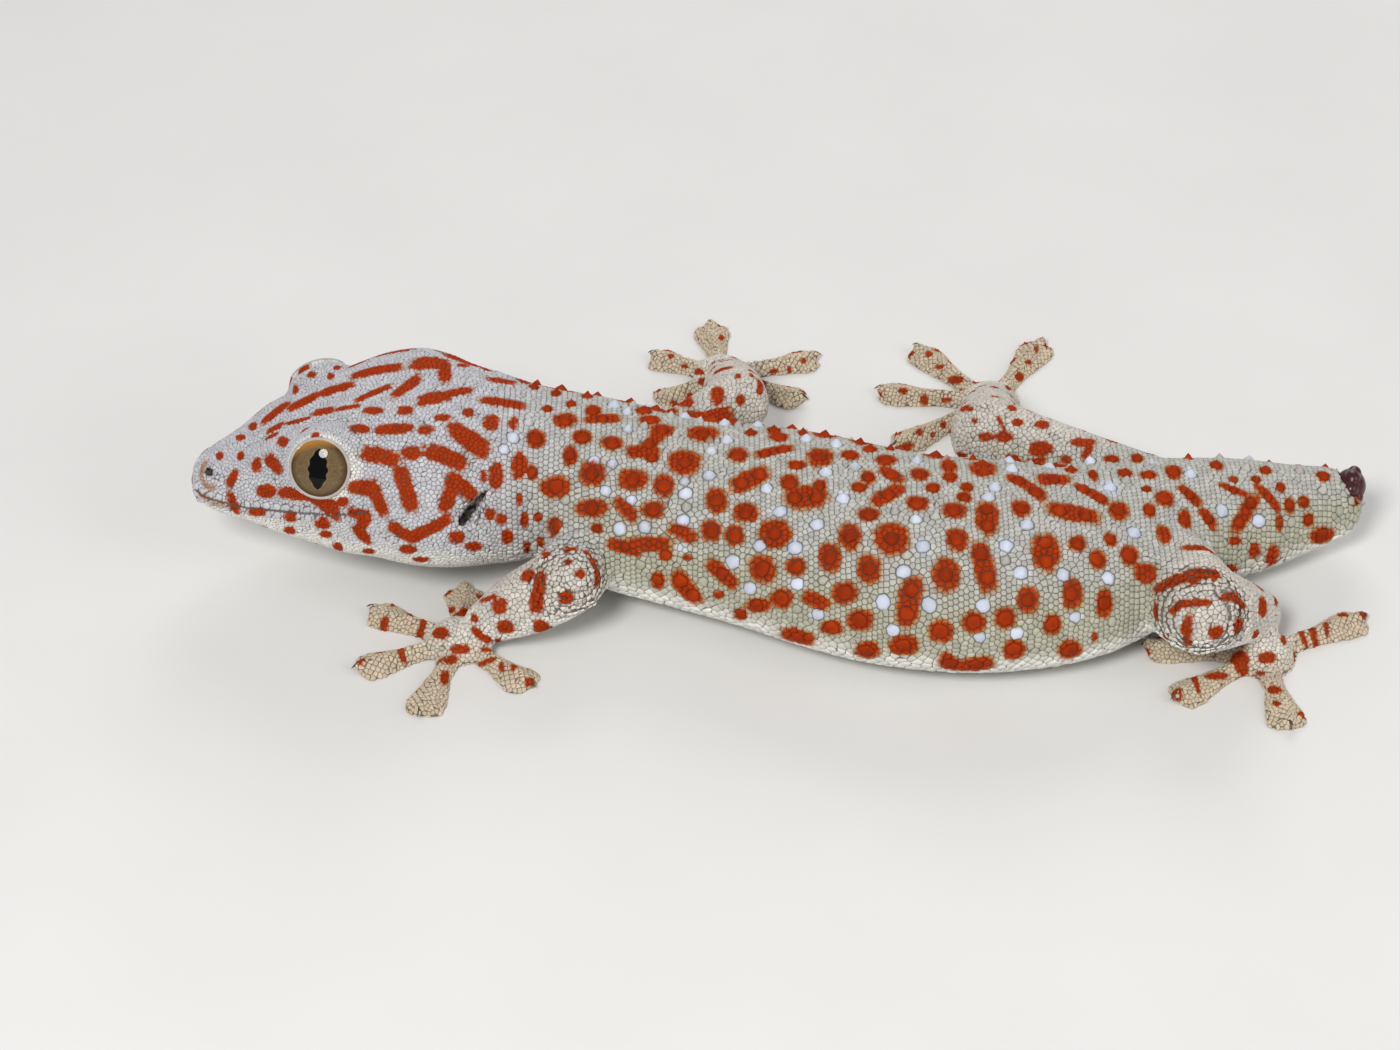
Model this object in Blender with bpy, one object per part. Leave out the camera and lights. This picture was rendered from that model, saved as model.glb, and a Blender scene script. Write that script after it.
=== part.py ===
"""Tokay gecko that has dropped its tail, life size, resting on its belly and its toe pads.

The head points to -X and +Z is up. Tables are in millimetres in the pose's own frame, where X runs along
the body; the finished model is moved so that the middle of its footprint is the origin.
"""

import math
import random

import bmesh
import bpy
import numpy as np
from mathutils import Matrix, Vector

MM = 0.001
GAP = 0.3 * MM  # between pieces that touch

# The head's own frame: its origin is the snout's tip, and its axis runs to the nape.
SNOUT_TIP = Vector((-92.8, 14.4, 15.6)) * MM
NAPE = Vector((-43.4, 18.6, 15.6)) * MM
HEAD_ROLL = math.radians(-5)  # the crown leans to the right

# Along the head: distance from the snout, height of the section's middle over the axis, half width,
# height above the middle, depth below it.
HEAD = (
    (0.4, 0.8, 2.6, 2.2, 2.2),
    (1.2, 0.9, 4.0, 3.1, 3.1),
    (2.8, 1.0, 5.6, 4.1, 4.2),
    (5.7, 1.2, 7.4, 5.2, 5.3),
    (8.4, 1.6, 8.9, 6.1, 6.2),
    (11.7, 2.0, 10.5, 7.9, 8.0),
    (14.1, 2.3, 11.6, 9.1, 9.2),
    (19.0, 2.6, 13.4, 11.0, 11.2),
    (24.1, 2.7, 15.6, 12.7, 12.8),
    (28.4, 2.6, 17.5, 14.0, 12.7),
    (32.7, 2.3, 19.5, 15.0, 13.0),
    (37.4, 2.0, 20.5, 15.2, 13.2),
    (41.6, 1.5, 20.1, 14.5, 13.2),
    (45.3, 1.0, 18.6, 13.2, 13.2),
    (49.5, 0.4, 17.2, 12.4, 12.9),
)
HEAD_END = 49.5
# Soft rises and hollows of the head on one side: place (along, out, up), reach, rise.
HEAD_SWELLS = (
    ("cheek", (35.0, 19.0, 2.0), (7.0, 6.0, 6.0), 0.5),
    ("canthus", (12.0, 7.5, 8.5), (7.0, 2.0, 2.4), 0.7),
    ("frontal_hollow", (17.0, 0.0, 13.0), (9.0, 4.4, 6.0), -1.2),
    ("crown_hollow", (33.0, 0.0, 17.0), (9.0, 4.0, 6.0), -0.7),
    ("loreal_hollow", (12.5, 10.5, 5.0), (4.0, 3.0, 2.6), -0.6),
)

# Eyes, in the head's frame.
EYE_RADIUS = 5.4 * MM
EYE_CENTRE = Vector((21.6, 9.8, 8.6)) * MM
EYE_LOOKS = Vector((-0.21, 0.905, 0.37)).normalized()
DOME_RADIUS = 6.3 * MM  # the lids' outer face
LID_RADIUS = 4.75 * MM
LID_THICKNESS = 0.6 * MM
LID_OUT = 3.65 * MM
LID_OPENING = 4.45 * MM

# The mouth, seen from the side: distance from the snout and height over the axis.
MOUTH = ((-3.0, 0.1), (3.0, 0.1), (10.0, 0.3), (17.0, 1.2), (23.0, 1.7), (28.0, 2.9))
THROAT = ((32.0, -1.0), (34.0, -20.0), (-3.0, -20.0))
LIP_RADIUS = 0.75 * MM
LIP_OFFSET = 0.75 * MM

NOSTRIL = Vector((2.9, 3.0, 4.6)) * MM
NOSTRIL_RADIUS = 0.75 * MM
EAR_CENTRE = Vector((44.2, 19.4, 4.6)) * MM
EAR_RADII = (4.3, 3.2, 1.05)  # along the slit, into the head, across the slit
EAR_SLANT = math.radians(-56)

# Along the body axis: x, y, z, half width, height above the axis, depth below it, roll in degrees,
# fullness of the upper half.
TRUNK = (
    (-43.4, 18.6, 16.0, 17.2, 12.4, 12.9, -5, 2.6),
    (-37.4, 18.6, 15.0, 15.6, 11.3, 11.2, -4, 2.45),
    (-27.5, 15.9, 13.5, 17.2, 11.6, 11.5, -1, 2.2),
    (-19.9, 13.8, 12.4, 17.6, 11.3, 11.4, 0, 2.15),
    (-10.9, 11.8, 11.8, 18.4, 11.5, 11.8, 0, 2.15),
    (0.0, 8.4, 11.8, 19.5, 12.1, 12.2, 0, 2.15),
    (8.8, 4.5, 12.0, 20.1, 12.3, 12.5, 0, 2.15),
    (17.7, 1.0, 12.1, 20.4, 12.4, 12.6, 0, 2.15),
    (28.1, -0.8, 12.1, 20.4, 12.4, 12.6, 0, 2.15),
    (35.6, -0.5, 11.9, 20.0, 12.2, 12.4, 0, 2.15),
    (41.6, 0.5, 11.5, 19.3, 11.8, 11.9, 0, 2.15),
    (46.7, 2.4, 11.0, 18.1, 11.2, 11.2, 0, 2.15),
    (56.8, 8.2, 10.4, 14.6, 9.9, 9.8, 0, 2.1),
    (66.6, 12.5, 9.9, 11.7, 8.8, 8.7, 0, 2.1),
    (75.7, 14.8, 9.5, 9.5, 7.9, 7.9, 0, 2.1),
    (83.0, 16.8, 9.1, 7.3, 6.5, 6.4, 0, 2.1),
    (89.7, 18.8, 8.8, 5.5, 5.2, 5.0, 0, 2.1),
    (92.4, 19.7, 8.8, 3.4, 3.2, 3.1, 0, 2.1),
)
NECK_FROM, TORSO_FROM, HIPS_FROM, TAIL_FROM = -43.4, -36.5, 48.0, 66.0
TORSO_RINGS, TORSO_SIDES = 31, 30
NECK_TURN = 20.0  # over this length the body turns from the head's direction to its own
HEAD_POWER, LOW_POWER = 2.6, 2.5  # the fullness of a section, 2 being an ellipse

# Cones of the back, flanks and tail, each raised from one face of the skin.
TUBERCLE_HEIGHT = 1.0 * MM
TUBERCLE_WIDTH = 2.0 * MM
TUBERCLE_SPREAD = math.radians(102)  # how far round from the midline they reach
TUBERCLE_ROOM = 1.6 * MM  # kept free round the limbs
TUBERCLES_LEFT_OUT = 0.06
SEED = 11

BREAK_CENTRE = Vector((91.4, 19.6, 10.9)) * MM
BREAK_RADII = (2.8, 3.3, 2.9)

# One row for each limb: joints from the body outwards, radii (root, middle, joint, middle, end), the
# palm's middle and the toe tips I to V as (x, y).
LIMBS = {
    "front_left": {
        "names": ("upper_arm", "forearm", "hand"),
        "joints": ((-29.0, 6.0, 11.5), (-33.0, -6.6, 12.8), (-45.8, -6.8, 4.8)),
        "radii": (6.2, 6.0, 5.7, 5.5, 3.7),
        "palm": (-50.2, -6.8),
        "tips": ((-50.0, 6.6), (-64.0, 1.0), (-65.2, -13.0), (-55.2, -23.6), (-38.8, -17.0)),
    },
    "front_right": {
        "names": ("upper_arm", "forearm", "hand"),
        "joints": ((-25.0, 22.0, 12.0), (-6.4, 38.6, 13.5), (-8.0, 58.6, 4.6)),
        "radii": (5.6, 5.2, 5.4, 5.2, 3.6),
        "palm": (-8.8, 63.6),
        "tips": ((-19.6, 57.0), (-20.4, 70.0), (-10.8, 79.0), (7.0, 69.6), (4.5, 57.5)),
    },
    "hind_left": {
        "names": ("thigh", "shank", "foot"),
        "joints": ((57.0, 4.0, 10.5), (63.4, -14.6, 13.8), (73.6, -6.6, 6.4)),
        "radii": (8.0, 8.0, 7.3, 6.0, 4.2),
        "palm": (74.6, -10.0),
        "tips": ((67.0, 0.2), (57.2, -8.0), (60.4, -20.0), (76.8, -26.6), (91.2, -1.0)),
    },
    "hind_right": {
        "names": ("thigh", "shank", "foot"),
        "joints": ((58.0, 16.0, 11.0), (33.6, 30.4, 13.5), (36.0, 50.6, 5.0)),
        "radii": (7.6, 6.8, 6.2, 5.4, 3.8),
        "palm": (36.4, 56.0),
        "tips": ((32.4, 42.0), (20.2, 44.4), (18.2, 59.8), (24.8, 72.0), (46.2, 73.6)),
    },
}
PALM_RADIUS, PALM_HEIGHT = 5.2 * MM, 4.4 * MM
# Along a toe, as shares of its length: half width and height.
TOE = (
    (0.0, 1.7, 2.8),
    (0.35, 1.55, 2.6),
    (0.60, 2.3, 2.1),
    (0.80, 3.0, 1.8),
    (0.94, 2.9, 1.4),
    (1.0, 1.9, 1.0),
)
TOE_EDGE = 0.6  # thickness of the pad's flange
CLAW_LENGTH, CLAW_RADIUS, CLAW_POINT = 1.3 * MM, 0.42 * MM, 0.08 * MM

COLOURS = {
    "skin": ((0.50, 0.49, 0.47), 0.6),
    "belly": ((0.72, 0.68, 0.60), 0.6),
    "toe": ((0.55, 0.44, 0.30), 0.6),
    "eye": ((0.33, 0.19, 0.08), 0.08),
    "break": ((0.10, 0.01, 0.01), 0.3),
}


def clear_scene():
    for obj in list(bpy.data.objects):
        bpy.data.objects.remove(obj)


def material(kind):
    """The Principled material of this kind, made once."""
    found = bpy.data.materials.get(kind)
    if found:
        return found
    colour, roughness = COLOURS[kind]
    made = bpy.data.materials.new(kind)
    made.use_nodes = True
    shader = made.node_tree.nodes["Principled BSDF"]
    shader.inputs["Base Color"].default_value = (*colour, 1)
    shader.inputs["Roughness"].default_value = roughness
    shader.inputs["Metallic"].default_value = 0
    return made


def collection(name):
    made = bpy.data.collections.new(name)
    bpy.context.scene.collection.children.link(made)
    return made


def obj_from(bm, name, where, kind="skin"):
    """A named object from a bmesh, with its faces turned outwards."""
    bmesh.ops.recalc_face_normals(bm, faces=bm.faces)
    mesh = bpy.data.meshes.new(name)
    bm.to_mesh(mesh)
    bm.free()
    mesh.materials.append(material(kind))
    obj = bpy.data.objects.new(name, mesh)
    where.objects.link(obj)
    return obj


def along(stations, key):
    """The row of values at this key, on a smooth curve through the stations."""
    rows = np.array(stations, float)
    keys = rows[:, 0]
    i = int(np.clip(np.searchsorted(keys, key) - 1, 0, len(keys) - 2))

    def slope(k):
        low, high = max(k - 1, 0), min(k + 1, len(keys) - 1)
        return (rows[high, 1:] - rows[low, 1:]) / (keys[high] - keys[low])

    span = keys[i + 1] - keys[i]
    t = float(np.clip((key - keys[i]) / span, 0, 1))
    return (
        (2 * t**3 - 3 * t**2 + 1) * rows[i, 1:]
        + (t**3 - 2 * t**2 + t) * span * slope(i)
        + (3 * t**2 - 2 * t**3) * rows[i + 1, 1:]
        + (t**3 - t**2) * span * slope(i + 1)
    )


def section(sides, width, top, low, full, grow=0.0):
    """Points (out, up) of a full oval, counted anticlockwise from the +out side."""
    points = []
    for k in range(sides):
        angle = 2 * math.pi * k / sides
        c, s = math.cos(angle), math.sin(angle)
        power = full if s > 0 else LOW_POWER
        height = top if s > 0 else low
        out = math.copysign(abs(c) ** (2 / power), c) * (width + grow)
        points.append((out, math.copysign(abs(s) ** (2 / power), s) * (height + grow)))
    return points


def clear_of_limbs(point):
    """Whether a cone at this point of the body stays clear of every limb."""
    for spec in LIMBS.values():
        joints = [Vector(p) * MM for p in spec["joints"]]
        for start, end, radii in zip(joints, joints[1:], (spec["radii"][:3], spec["radii"][2:])):
            share = (point - start).dot(end - start) / (end - start).length_squared
            nearest = start.lerp(end, min(1.0, max(0.0, share)))
            if (point - nearest).length < max(radii) * MM + TUBERCLE_ROOM:
                return False
    return True


def raise_tubercles(bm, bands):
    """Raises low cones in staggered rows over the back and flanks."""
    draw = random.Random(SEED)
    for i, band in enumerate(bands[1:-1]):
        for k, face in enumerate(band):
            around = 2 * math.pi * (k + 0.5) / len(band) - math.pi / 2
            around = (around + math.pi) % (2 * math.pi) - math.pi
            place = face.calc_center_median()
            height = TUBERCLE_HEIGHT * draw.uniform(0.75, 1.15)
            left_out = draw.random() < TUBERCLES_LEFT_OUT
            in_row = k % 2 == 0 and i % 2 == (k // 2) % 2
            if left_out or not in_row or abs(around) > TUBERCLE_SPREAD or not clear_of_limbs(place):
                continue
            across = math.sqrt(face.calc_area())
            margin = max(0.1 * across, (across - TUBERCLE_WIDTH) / 2)
            bmesh.ops.inset_individual(bm, faces=[face], thickness=margin)
            bmesh.ops.poke(bm, faces=[face], offset=height)


def loft(rings, name, where, kind="skin", tubercles=False):
    """A closed skin over rings of equal counts; a ring of one point is a pole."""
    bm = bmesh.new()
    made = [[bm.verts.new(p) for p in ring] for ring in rings]
    bands = []
    for a, b in zip(made, made[1:]):
        count = max(len(a), len(b))
        band = []
        for k in range(count):
            n = (k + 1) % count
            if len(a) == 1:
                corners = (a[0], b[k], b[n])
            elif len(b) == 1:
                corners = (a[k], a[n], b[0])
            else:
                corners = (a[k], a[n], b[n], b[k])
            band.append(bm.faces.new(corners))
        bands.append(band)
    for end in (made[0], made[-1]):
        if len(end) > 1:
            bm.faces.new(end)
    if tubercles:
        bmesh.ops.recalc_face_normals(bm, faces=bm.faces)
        raise_tubercles(bm, bands)
    return obj_from(bm, name, where, kind)


def boolean(obj, operation, where):
    """Joins or cuts obj by every object of a collection, which is then emptied."""
    modifier = obj.modifiers.new("boolean", "BOOLEAN")
    modifier.operation = operation
    modifier.operand_type = "COLLECTION"
    modifier.collection = where
    modifier.solver = "EXACT"
    apply_modifiers(obj)
    for other in list(where.objects):
        bpy.data.objects.remove(other)
    keep_largest(obj)


def apply_modifiers(obj):
    bpy.context.view_layer.update()
    graph = bpy.context.evaluated_depsgraph_get()
    mesh = bpy.data.meshes.new_from_object(obj.evaluated_get(graph))
    obj.modifiers.clear()
    obj.data = mesh


def keep_largest(obj):
    """Drops every closed surface of the mesh but the largest."""
    bm = bmesh.new()
    bm.from_mesh(obj.data)
    bmesh.ops.remove_doubles(bm, verts=bm.verts, dist=0.002 * MM)
    bmesh.ops.dissolve_degenerate(bm, edges=bm.edges, dist=0.002 * MM)
    unseen, islands = set(bm.verts), []
    while unseen:
        front = [unseen.pop()]
        island = list(front)
        while front:
            for edge in front.pop().link_edges:
                for vert in edge.verts:
                    if vert in unseen:
                        unseen.remove(vert)
                        front.append(vert)
                        island.append(vert)
        islands.append(island)
    islands.sort(key=len)
    loose = [v for island in islands[:-1] for v in island]
    bmesh.ops.delete(bm, geom=loose, context="VERTS")
    bm.to_mesh(obj.data)
    bm.free()


def head_matrix():
    axis = (NAPE - SNOUT_TIP).normalized()
    out = axis.cross(Vector((0, 0, 1))).normalized() * -1
    up = axis.cross(out)
    if up.z < 0:
        up, out = -up, out
    turn = Matrix.Rotation(HEAD_ROLL, 3, axis)
    frame = Matrix((axis, turn @ out, turn @ up)).transposed().to_4x4()
    return Matrix.Translation(SNOUT_TIP) @ frame


def swell(point):
    """How far the head's surface is pushed out at a point of the head's own frame, in mm."""
    total = 0.0
    for _, place, reach, rise in HEAD_SWELLS:
        away = sum(
            ((value - middle) / size) ** 2
            for value, middle, size in zip((point[0], abs(point[1]), point[2]), place, reach)
        )
        total += rise * math.exp(-away)
    return total


def head_ring(distance, sides):
    rise, width, top, low = along(HEAD, distance)
    fade = min(1.0, max(0.0, (HEAD_END - distance) / 4))
    ring = []
    for out, up in section(sides, width, top, low, HEAD_POWER):
        push = swell((distance, out, rise + up)) * fade
        reach = math.hypot(out, up)
        scale = (reach + push) / reach
        ring.append(Vector((distance, out * scale, rise + up * scale)) * MM)
    return ring


def head_side(distance, height):
    """How far the head reaches sideways at this distance and height, in mm."""
    rise, width, top, low = along(HEAD, distance)
    power = HEAD_POWER if height > rise else LOW_POWER
    share = min(1.0, abs(height - rise) / (top if height > rise else low))
    return width * (1 - share**power) ** (1 / power)


def mouth_height(distance):
    return float(along(MOUTH, distance)[0])


def lip(offset, where):
    """A soft rounded lip along the mouth, from one corner round the snout to the other."""
    side = []
    for distance in (1.0, 2.0, 4.0, 7.0, 11.0, 15.0, 19.0, 23.0, 26.5):
        height = mouth_height(distance) + offset / MM
        side.append((distance, head_side(distance, height) - 0.35, height))
    points = [(d, -out, up) for d, out, up in reversed(side)]
    points.append((0.45, 0.0, mouth_height(0.5) + offset / MM))
    points += side
    data = bpy.data.curves.new("lip", "CURVE")
    data.dimensions = "3D"
    data.bevel_depth = LIP_RADIUS
    data.bevel_resolution = 1
    data.use_fill_caps = True
    spline = data.splines.new("POLY")
    spline.points.add(len(points) - 1)
    for control, point in zip(spline.points, points):
        control.co = (*(Vector(point) * MM), 1)
    curve = bpy.data.objects.new("lip", data)
    where.objects.link(curve)
    bpy.context.view_layer.update()
    graph = bpy.context.evaluated_depsgraph_get()
    mesh = bpy.data.meshes.new_from_object(curve.evaluated_get(graph))
    bm = bmesh.new()
    bm.from_mesh(mesh)
    bmesh.ops.remove_doubles(bm, verts=bm.verts, dist=0.01 * MM)
    bpy.data.objects.remove(curve)
    return obj_from(bm, "lip", where)


def mirrored(vector, side):
    return Vector((vector.x, vector.y * side, vector.z))


def turn_to(direction):
    return direction.to_track_quat("Z", "Y").to_matrix().to_4x4()


def ball(name, centre, radii, where, kind="skin", turn=None, cuts=(20, 12)):
    """An ellipsoid with these radii in millimetres."""
    bm = bmesh.new()
    place = Matrix.Translation(centre) @ (turn or Matrix.Identity(4)) @ Matrix.Diagonal((*radii, 1))
    bmesh.ops.create_uvsphere(bm, u_segments=cuts[0], v_segments=cuts[1], radius=MM, matrix=place)
    return obj_from(bm, name, where, kind)


def ring_of_lid(side, where):
    """The raised rim round one eye."""
    bpy.ops.mesh.primitive_torus_add(
        major_segments=24, minor_segments=6, major_radius=LID_RADIUS, minor_radius=LID_THICKNESS
    )
    lid = bpy.context.object
    looks = mirrored(EYE_LOOKS, side)
    lid.data.transform(Matrix.Translation(mirrored(EYE_CENTRE, side) + looks * LID_OUT) @ turn_to(looks))
    for used in list(lid.users_collection):
        used.objects.unlink(lid)
    where.objects.link(lid)


def opening_of_lids(side, where):
    """The space through which one eye looks out."""
    looks = mirrored(EYE_LOOKS, side)
    depth = 2 * EYE_RADIUS
    place = Matrix.Translation(mirrored(EYE_CENTRE, side) + looks * (depth / 2 + EYE_RADIUS / 4))
    bm = bmesh.new()
    bmesh.ops.create_cone(
        bm, cap_ends=True, segments=24, radius1=LID_OPENING, radius2=LID_OPENING, depth=depth,
        matrix=place @ turn_to(looks),
    )
    obj_from(bm, "opening", where)


def jaw_prism(shift, name, where):
    """The space of the lower jaw, across the whole head."""
    outline = [(d + shift, h + shift) for d, h in MOUTH + THROAT]
    bm = bmesh.new()
    half = 25.0
    face = bm.faces.new([bm.verts.new(Vector((d, -half, h)) * MM) for d, h in outline])
    made = bmesh.ops.extrude_face_region(bm, geom=[face])
    moved = [v for v in made["geom"] if isinstance(v, bmesh.types.BMVert)]
    bmesh.ops.translate(bm, verts=moved, vec=Vector((0, 2 * half, 0)) * MM)
    return obj_from(bm, name, where)


def build_head(animal, cutters):
    """The head with its lids, lips, nostrils and ears, the lower jaw, and both eyes."""
    sides, steps = 36, 26
    start = HEAD[0][0]
    distances = [start + (HEAD_END - start) * (k / steps) ** 1.25 for k in range(steps + 1)]
    tip = Vector((0, 0, HEAD[0][1])) * MM
    rings = [[tip]] + [head_ring(d, sides) for d in distances]
    head = loft(rings, "head", animal)
    for side in (-1, 1):
        ball("dome", mirrored(EYE_CENTRE, side), (DOME_RADIUS / MM,) * 3, cutters, cuts=(20, 12))
        ring_of_lid(side, cutters)
    for offset in (LIP_OFFSET, -LIP_OFFSET):
        lip(offset, cutters)
    boolean(head, "UNION", cutters)
    for side in (-1, 1):
        socket = (EYE_RADIUS + GAP) / MM
        ball("socket", mirrored(EYE_CENTRE, side), (socket,) * 3, cutters, cuts=(16, 10))
        opening_of_lids(side, cutters)
        slant = Matrix.Rotation(EAR_SLANT, 4, "Y")
        ball("ear", mirrored(EAR_CENTRE, side), EAR_RADII, cutters, turn=slant, cuts=(14, 8))
        ball("nostril", mirrored(NOSTRIL, side), (NOSTRIL_RADIUS / MM,) * 3, cutters, cuts=(10, 6))
    boolean(head, "DIFFERENCE", cutters)
    jaw = head.copy()
    jaw.data = head.data.copy()
    jaw.name = "lower_jaw"
    animal.objects.link(jaw)
    jaw_prism(0.0, "jaw_space", cutters)
    boolean(head, "DIFFERENCE", cutters)
    jaw_prism(-GAP / MM, "jaw_space", cutters)
    boolean(jaw, "INTERSECT", cutters)
    frame = head_matrix()
    for side, label in ((-1, "left"), (1, "right")):
        eye = ball(f"eye_{label}", Vector(), (EYE_RADIUS / MM,) * 3, animal, "eye", cuts=(16, 10))
        looks = mirrored(EYE_LOOKS, side)
        eye.data.transform(frame @ Matrix.Translation(mirrored(EYE_CENTRE, side)) @ turn_to(looks))
    for obj in (head, jaw):
        obj.data.transform(frame)


def trunk_frame(x):
    """Centre, out and up of the body's section at x, square to the body's axis."""
    step = 0.5
    here = np.array([x, *along(TRUNK, x)[:2]])
    ahead = np.array([x + step, *along(TRUNK, x + step)[:2]])
    behind = np.array([x - step, *along(TRUNK, x - step)[:2]])
    tangent = Vector(ahead - behind).normalized()
    nape = min(1.0, max(0.0, (x - NECK_FROM) / NECK_TURN))
    tangent = (NAPE - SNOUT_TIP).normalized().lerp(tangent, nape).normalized()
    out = Vector((0, 0, 1)).cross(tangent).normalized()
    up = tangent.cross(out)
    roll = Matrix.Rotation(math.radians(float(along(TRUNK, x)[5])), 3, tangent)
    return Vector(here) * MM, roll @ out, roll @ up, tangent


def trunk_ring(x, sides, grow=0.0, shift=0.0):
    centre, out, up, tangent = trunk_frame(x)
    width, top, low, _, full = along(TRUNK, x)[2:]
    ring = []
    for across, height in section(sides, width, top, low, full, grow / MM):
        point = centre + out * across * MM + up * height * MM + tangent * shift
        ring.append(Vector((point.x, point.y, max(point.z, -grow))))
    return ring


def trunk_length(start, end, rings, sides, name, where, pole=False, grow=0.0, kind="skin"):
    """One length of the body between two stations, its ends held half a gap in."""
    places = [start + (end - start) * k / (rings - 1) for k in range(rings)]
    shifts = [GAP / 2] + [0.0] * (rings - 2) + [0.0 if pole else -GAP / 2]
    made = [trunk_ring(x, sides, grow, shift) for x, shift in zip(places, shifts)]
    if pole:
        centre, _, _, tangent = trunk_frame(end)
        made.append([centre + tangent * (0.8 * MM + grow)])
    return loft(made, name, where, kind, tubercles=not grow)


def build_trunk(animal, cutters):
    end = TRUNK[-1][0]
    trunk_length(NECK_FROM, TORSO_FROM, 4, TORSO_SIDES, "neck", animal)
    trunk_length(TORSO_FROM, HIPS_FROM, TORSO_RINGS, TORSO_SIDES, "torso", animal)
    trunk_length(HIPS_FROM, TAIL_FROM, 8, 28, "hips", animal)
    tail = trunk_length(TAIL_FROM, end, 13, 20, "tail_stump", animal, pole=True)
    grown = tuple(r + GAP / MM for r in BREAK_RADII)
    ball("hollow", BREAK_CENTRE, grown, cutters)
    boolean(tail, "DIFFERENCE", cutters)
    ball("tail_break", BREAK_CENTRE, BREAK_RADII, animal, "break", cuts=(14, 8))


def body_space(where):
    """The body from nape to stump, a gap larger all round, for what grows from it."""
    return trunk_length(NECK_FROM, TRUNK[-1][0], 60, 48, "body_space", where, pole=True, grow=GAP)


def bone(start, end, radii, name, where, grow=0.0, sides=12, steps=4, rounds=3):
    """A muscled length of limb between two joints, round at both ends."""
    axis = (end - start).normalized()
    out = axis.cross(Vector((0, 0, 1))).normalized()
    up = out.cross(axis)
    rows = ((0.0, radii[0]), (0.5, radii[1]), (1.0, radii[2]))
    places = []
    for k in range(1, rounds):
        angle = math.pi / 2 * k / rounds
        places.append((-math.cos(angle) * (radii[0] * MM + grow), math.sin(angle) * (radii[0] * MM + grow)))
    length = (end - start).length
    for k in range(steps + 1):
        share = k / steps
        places.append((share * length, float(along(rows, share)[0]) * MM + grow))
    for k in range(rounds - 1, 0, -1):
        angle = math.pi / 2 * k / rounds
        radius = radii[2] * MM + grow
        places.append((length + math.cos(angle) * radius, math.sin(angle) * radius))
    rings = [[start - axis * (radii[0] * MM + grow)]]
    for place, radius in places:
        middle = start + axis * place
        turns = [2 * math.pi * k / sides for k in range(sides)]
        rings.append([middle + out * math.cos(a) * radius + up * math.sin(a) * radius for a in turns])
    rings.append([end + axis * (radii[2] * MM + grow)])
    return loft(rings, name, where)


def palm(centre, name, where, grow=0.0):
    """The palm or sole: a low dome with a flat underside."""
    bm = bmesh.new()
    radii = (PALM_RADIUS + grow, PALM_RADIUS + grow, PALM_HEIGHT + grow)
    place = Matrix.Translation(centre) @ Matrix.Diagonal((*radii, 1))
    bmesh.ops.create_uvsphere(bm, u_segments=16, v_segments=8, radius=1, matrix=place)
    geom = bm.verts[:] + bm.edges[:] + bm.faces[:]
    floor = Vector((0, 0, -grow))
    cut = bmesh.ops.bisect_plane(bm, geom=geom, plane_co=floor, plane_no=(0, 0, -1), clear_outer=True)
    rim = [e for e in cut["geom_cut"] if isinstance(e, bmesh.types.BMEdge)]
    bmesh.ops.edgeloop_fill(bm, edges=rim)
    return obj_from(bm, name, where)


def toe(root, tip, name, animal, parts, clawed):
    """One toe: a broad flat pad on the floor, a free last joint over it, and its claw."""
    axis = (tip - root).normalized()
    out = Vector((0, 0, 1)).cross(axis)
    length = (tip - root).length
    rings = []
    for share, half, height in TOE:
        middle = root + axis * length * share
        body = height - TOE_EDGE
        outline = (
            (-1, 0), (0, 0), (1, 0), (1, TOE_EDGE),
            (0.55, TOE_EDGE + 0.5 * body), (0, height), (-0.55, TOE_EDGE + 0.5 * body), (-1, TOE_EDGE),
        )
        rings.append([middle + out * a * half * MM + Vector((0, 0, h * MM)) for a, h in outline])
    made = loft(rings, name, animal, "toe")
    start = root + axis * length * 0.6 + Vector((0, 0, 1.2 * MM))
    finish = tip + Vector((0, 0, 1.35 * MM))
    bone(start, finish, (1.0, 0.95, 0.8), "joint", parts, sides=6, steps=1, rounds=2)
    if clawed:
        bm = bmesh.new()
        point = (axis - Vector((0, 0, 0.35))).normalized()
        place = Matrix.Translation(finish + point * CLAW_LENGTH * 0.55) @ turn_to(point)
        bmesh.ops.create_cone(
            bm,
            cap_ends=True,
            segments=5,
            radius1=CLAW_RADIUS,
            radius2=CLAW_POINT,
            depth=CLAW_LENGTH,
            matrix=place,
        )
        obj_from(bm, "claw", parts)
    boolean(made, "UNION", parts)
    return made


def build_limb(limb, spec, animal, cutters):
    root, joint, end = (Vector(p) * MM for p in spec["joints"])
    first, second, third = (f"{name}_{limb}" for name in spec["names"])
    upper, lower = spec["radii"][:3], spec["radii"][2:]
    middle = Vector((*spec["palm"], 0)) * MM

    made = bone(root, joint, upper, first, animal)
    body_space(cutters)
    bone(joint, end, lower, "space", cutters, GAP)
    boolean(made, "DIFFERENCE", cutters)

    made = bone(joint, end, lower, second, animal)
    body_space(cutters)
    palm(middle, "space", cutters, GAP)
    boolean(made, "DIFFERENCE", cutters)

    palm(middle, third, animal)
    for number, place in enumerate(spec["tips"], 1):
        tip = Vector((*place, 0)) * MM
        axis = (tip - middle).normalized()
        root_place = middle + axis * PALM_RADIUS * 0.6
        made = toe(root_place, tip, f"toe_{limb}_{number}", animal, cutters, number > 1)
        palm(middle, "space", cutters, GAP)
        bone(joint, end, lower, "space", cutters, GAP)
        boolean(made, "DIFFERENCE", cutters)


def stand_at_origin(animal):
    """Moves every piece so that the middle of the footprint is the origin."""
    corners = np.array([v.co for obj in animal.objects for v in obj.data.vertices])
    low, high = corners.min(0), corners.max(0)
    middle = Vector(((low[0] + high[0]) / 2, (low[1] + high[1]) / 2, low[2]))
    for obj in animal.objects:
        obj.data.transform(Matrix.Translation(-middle))


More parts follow.
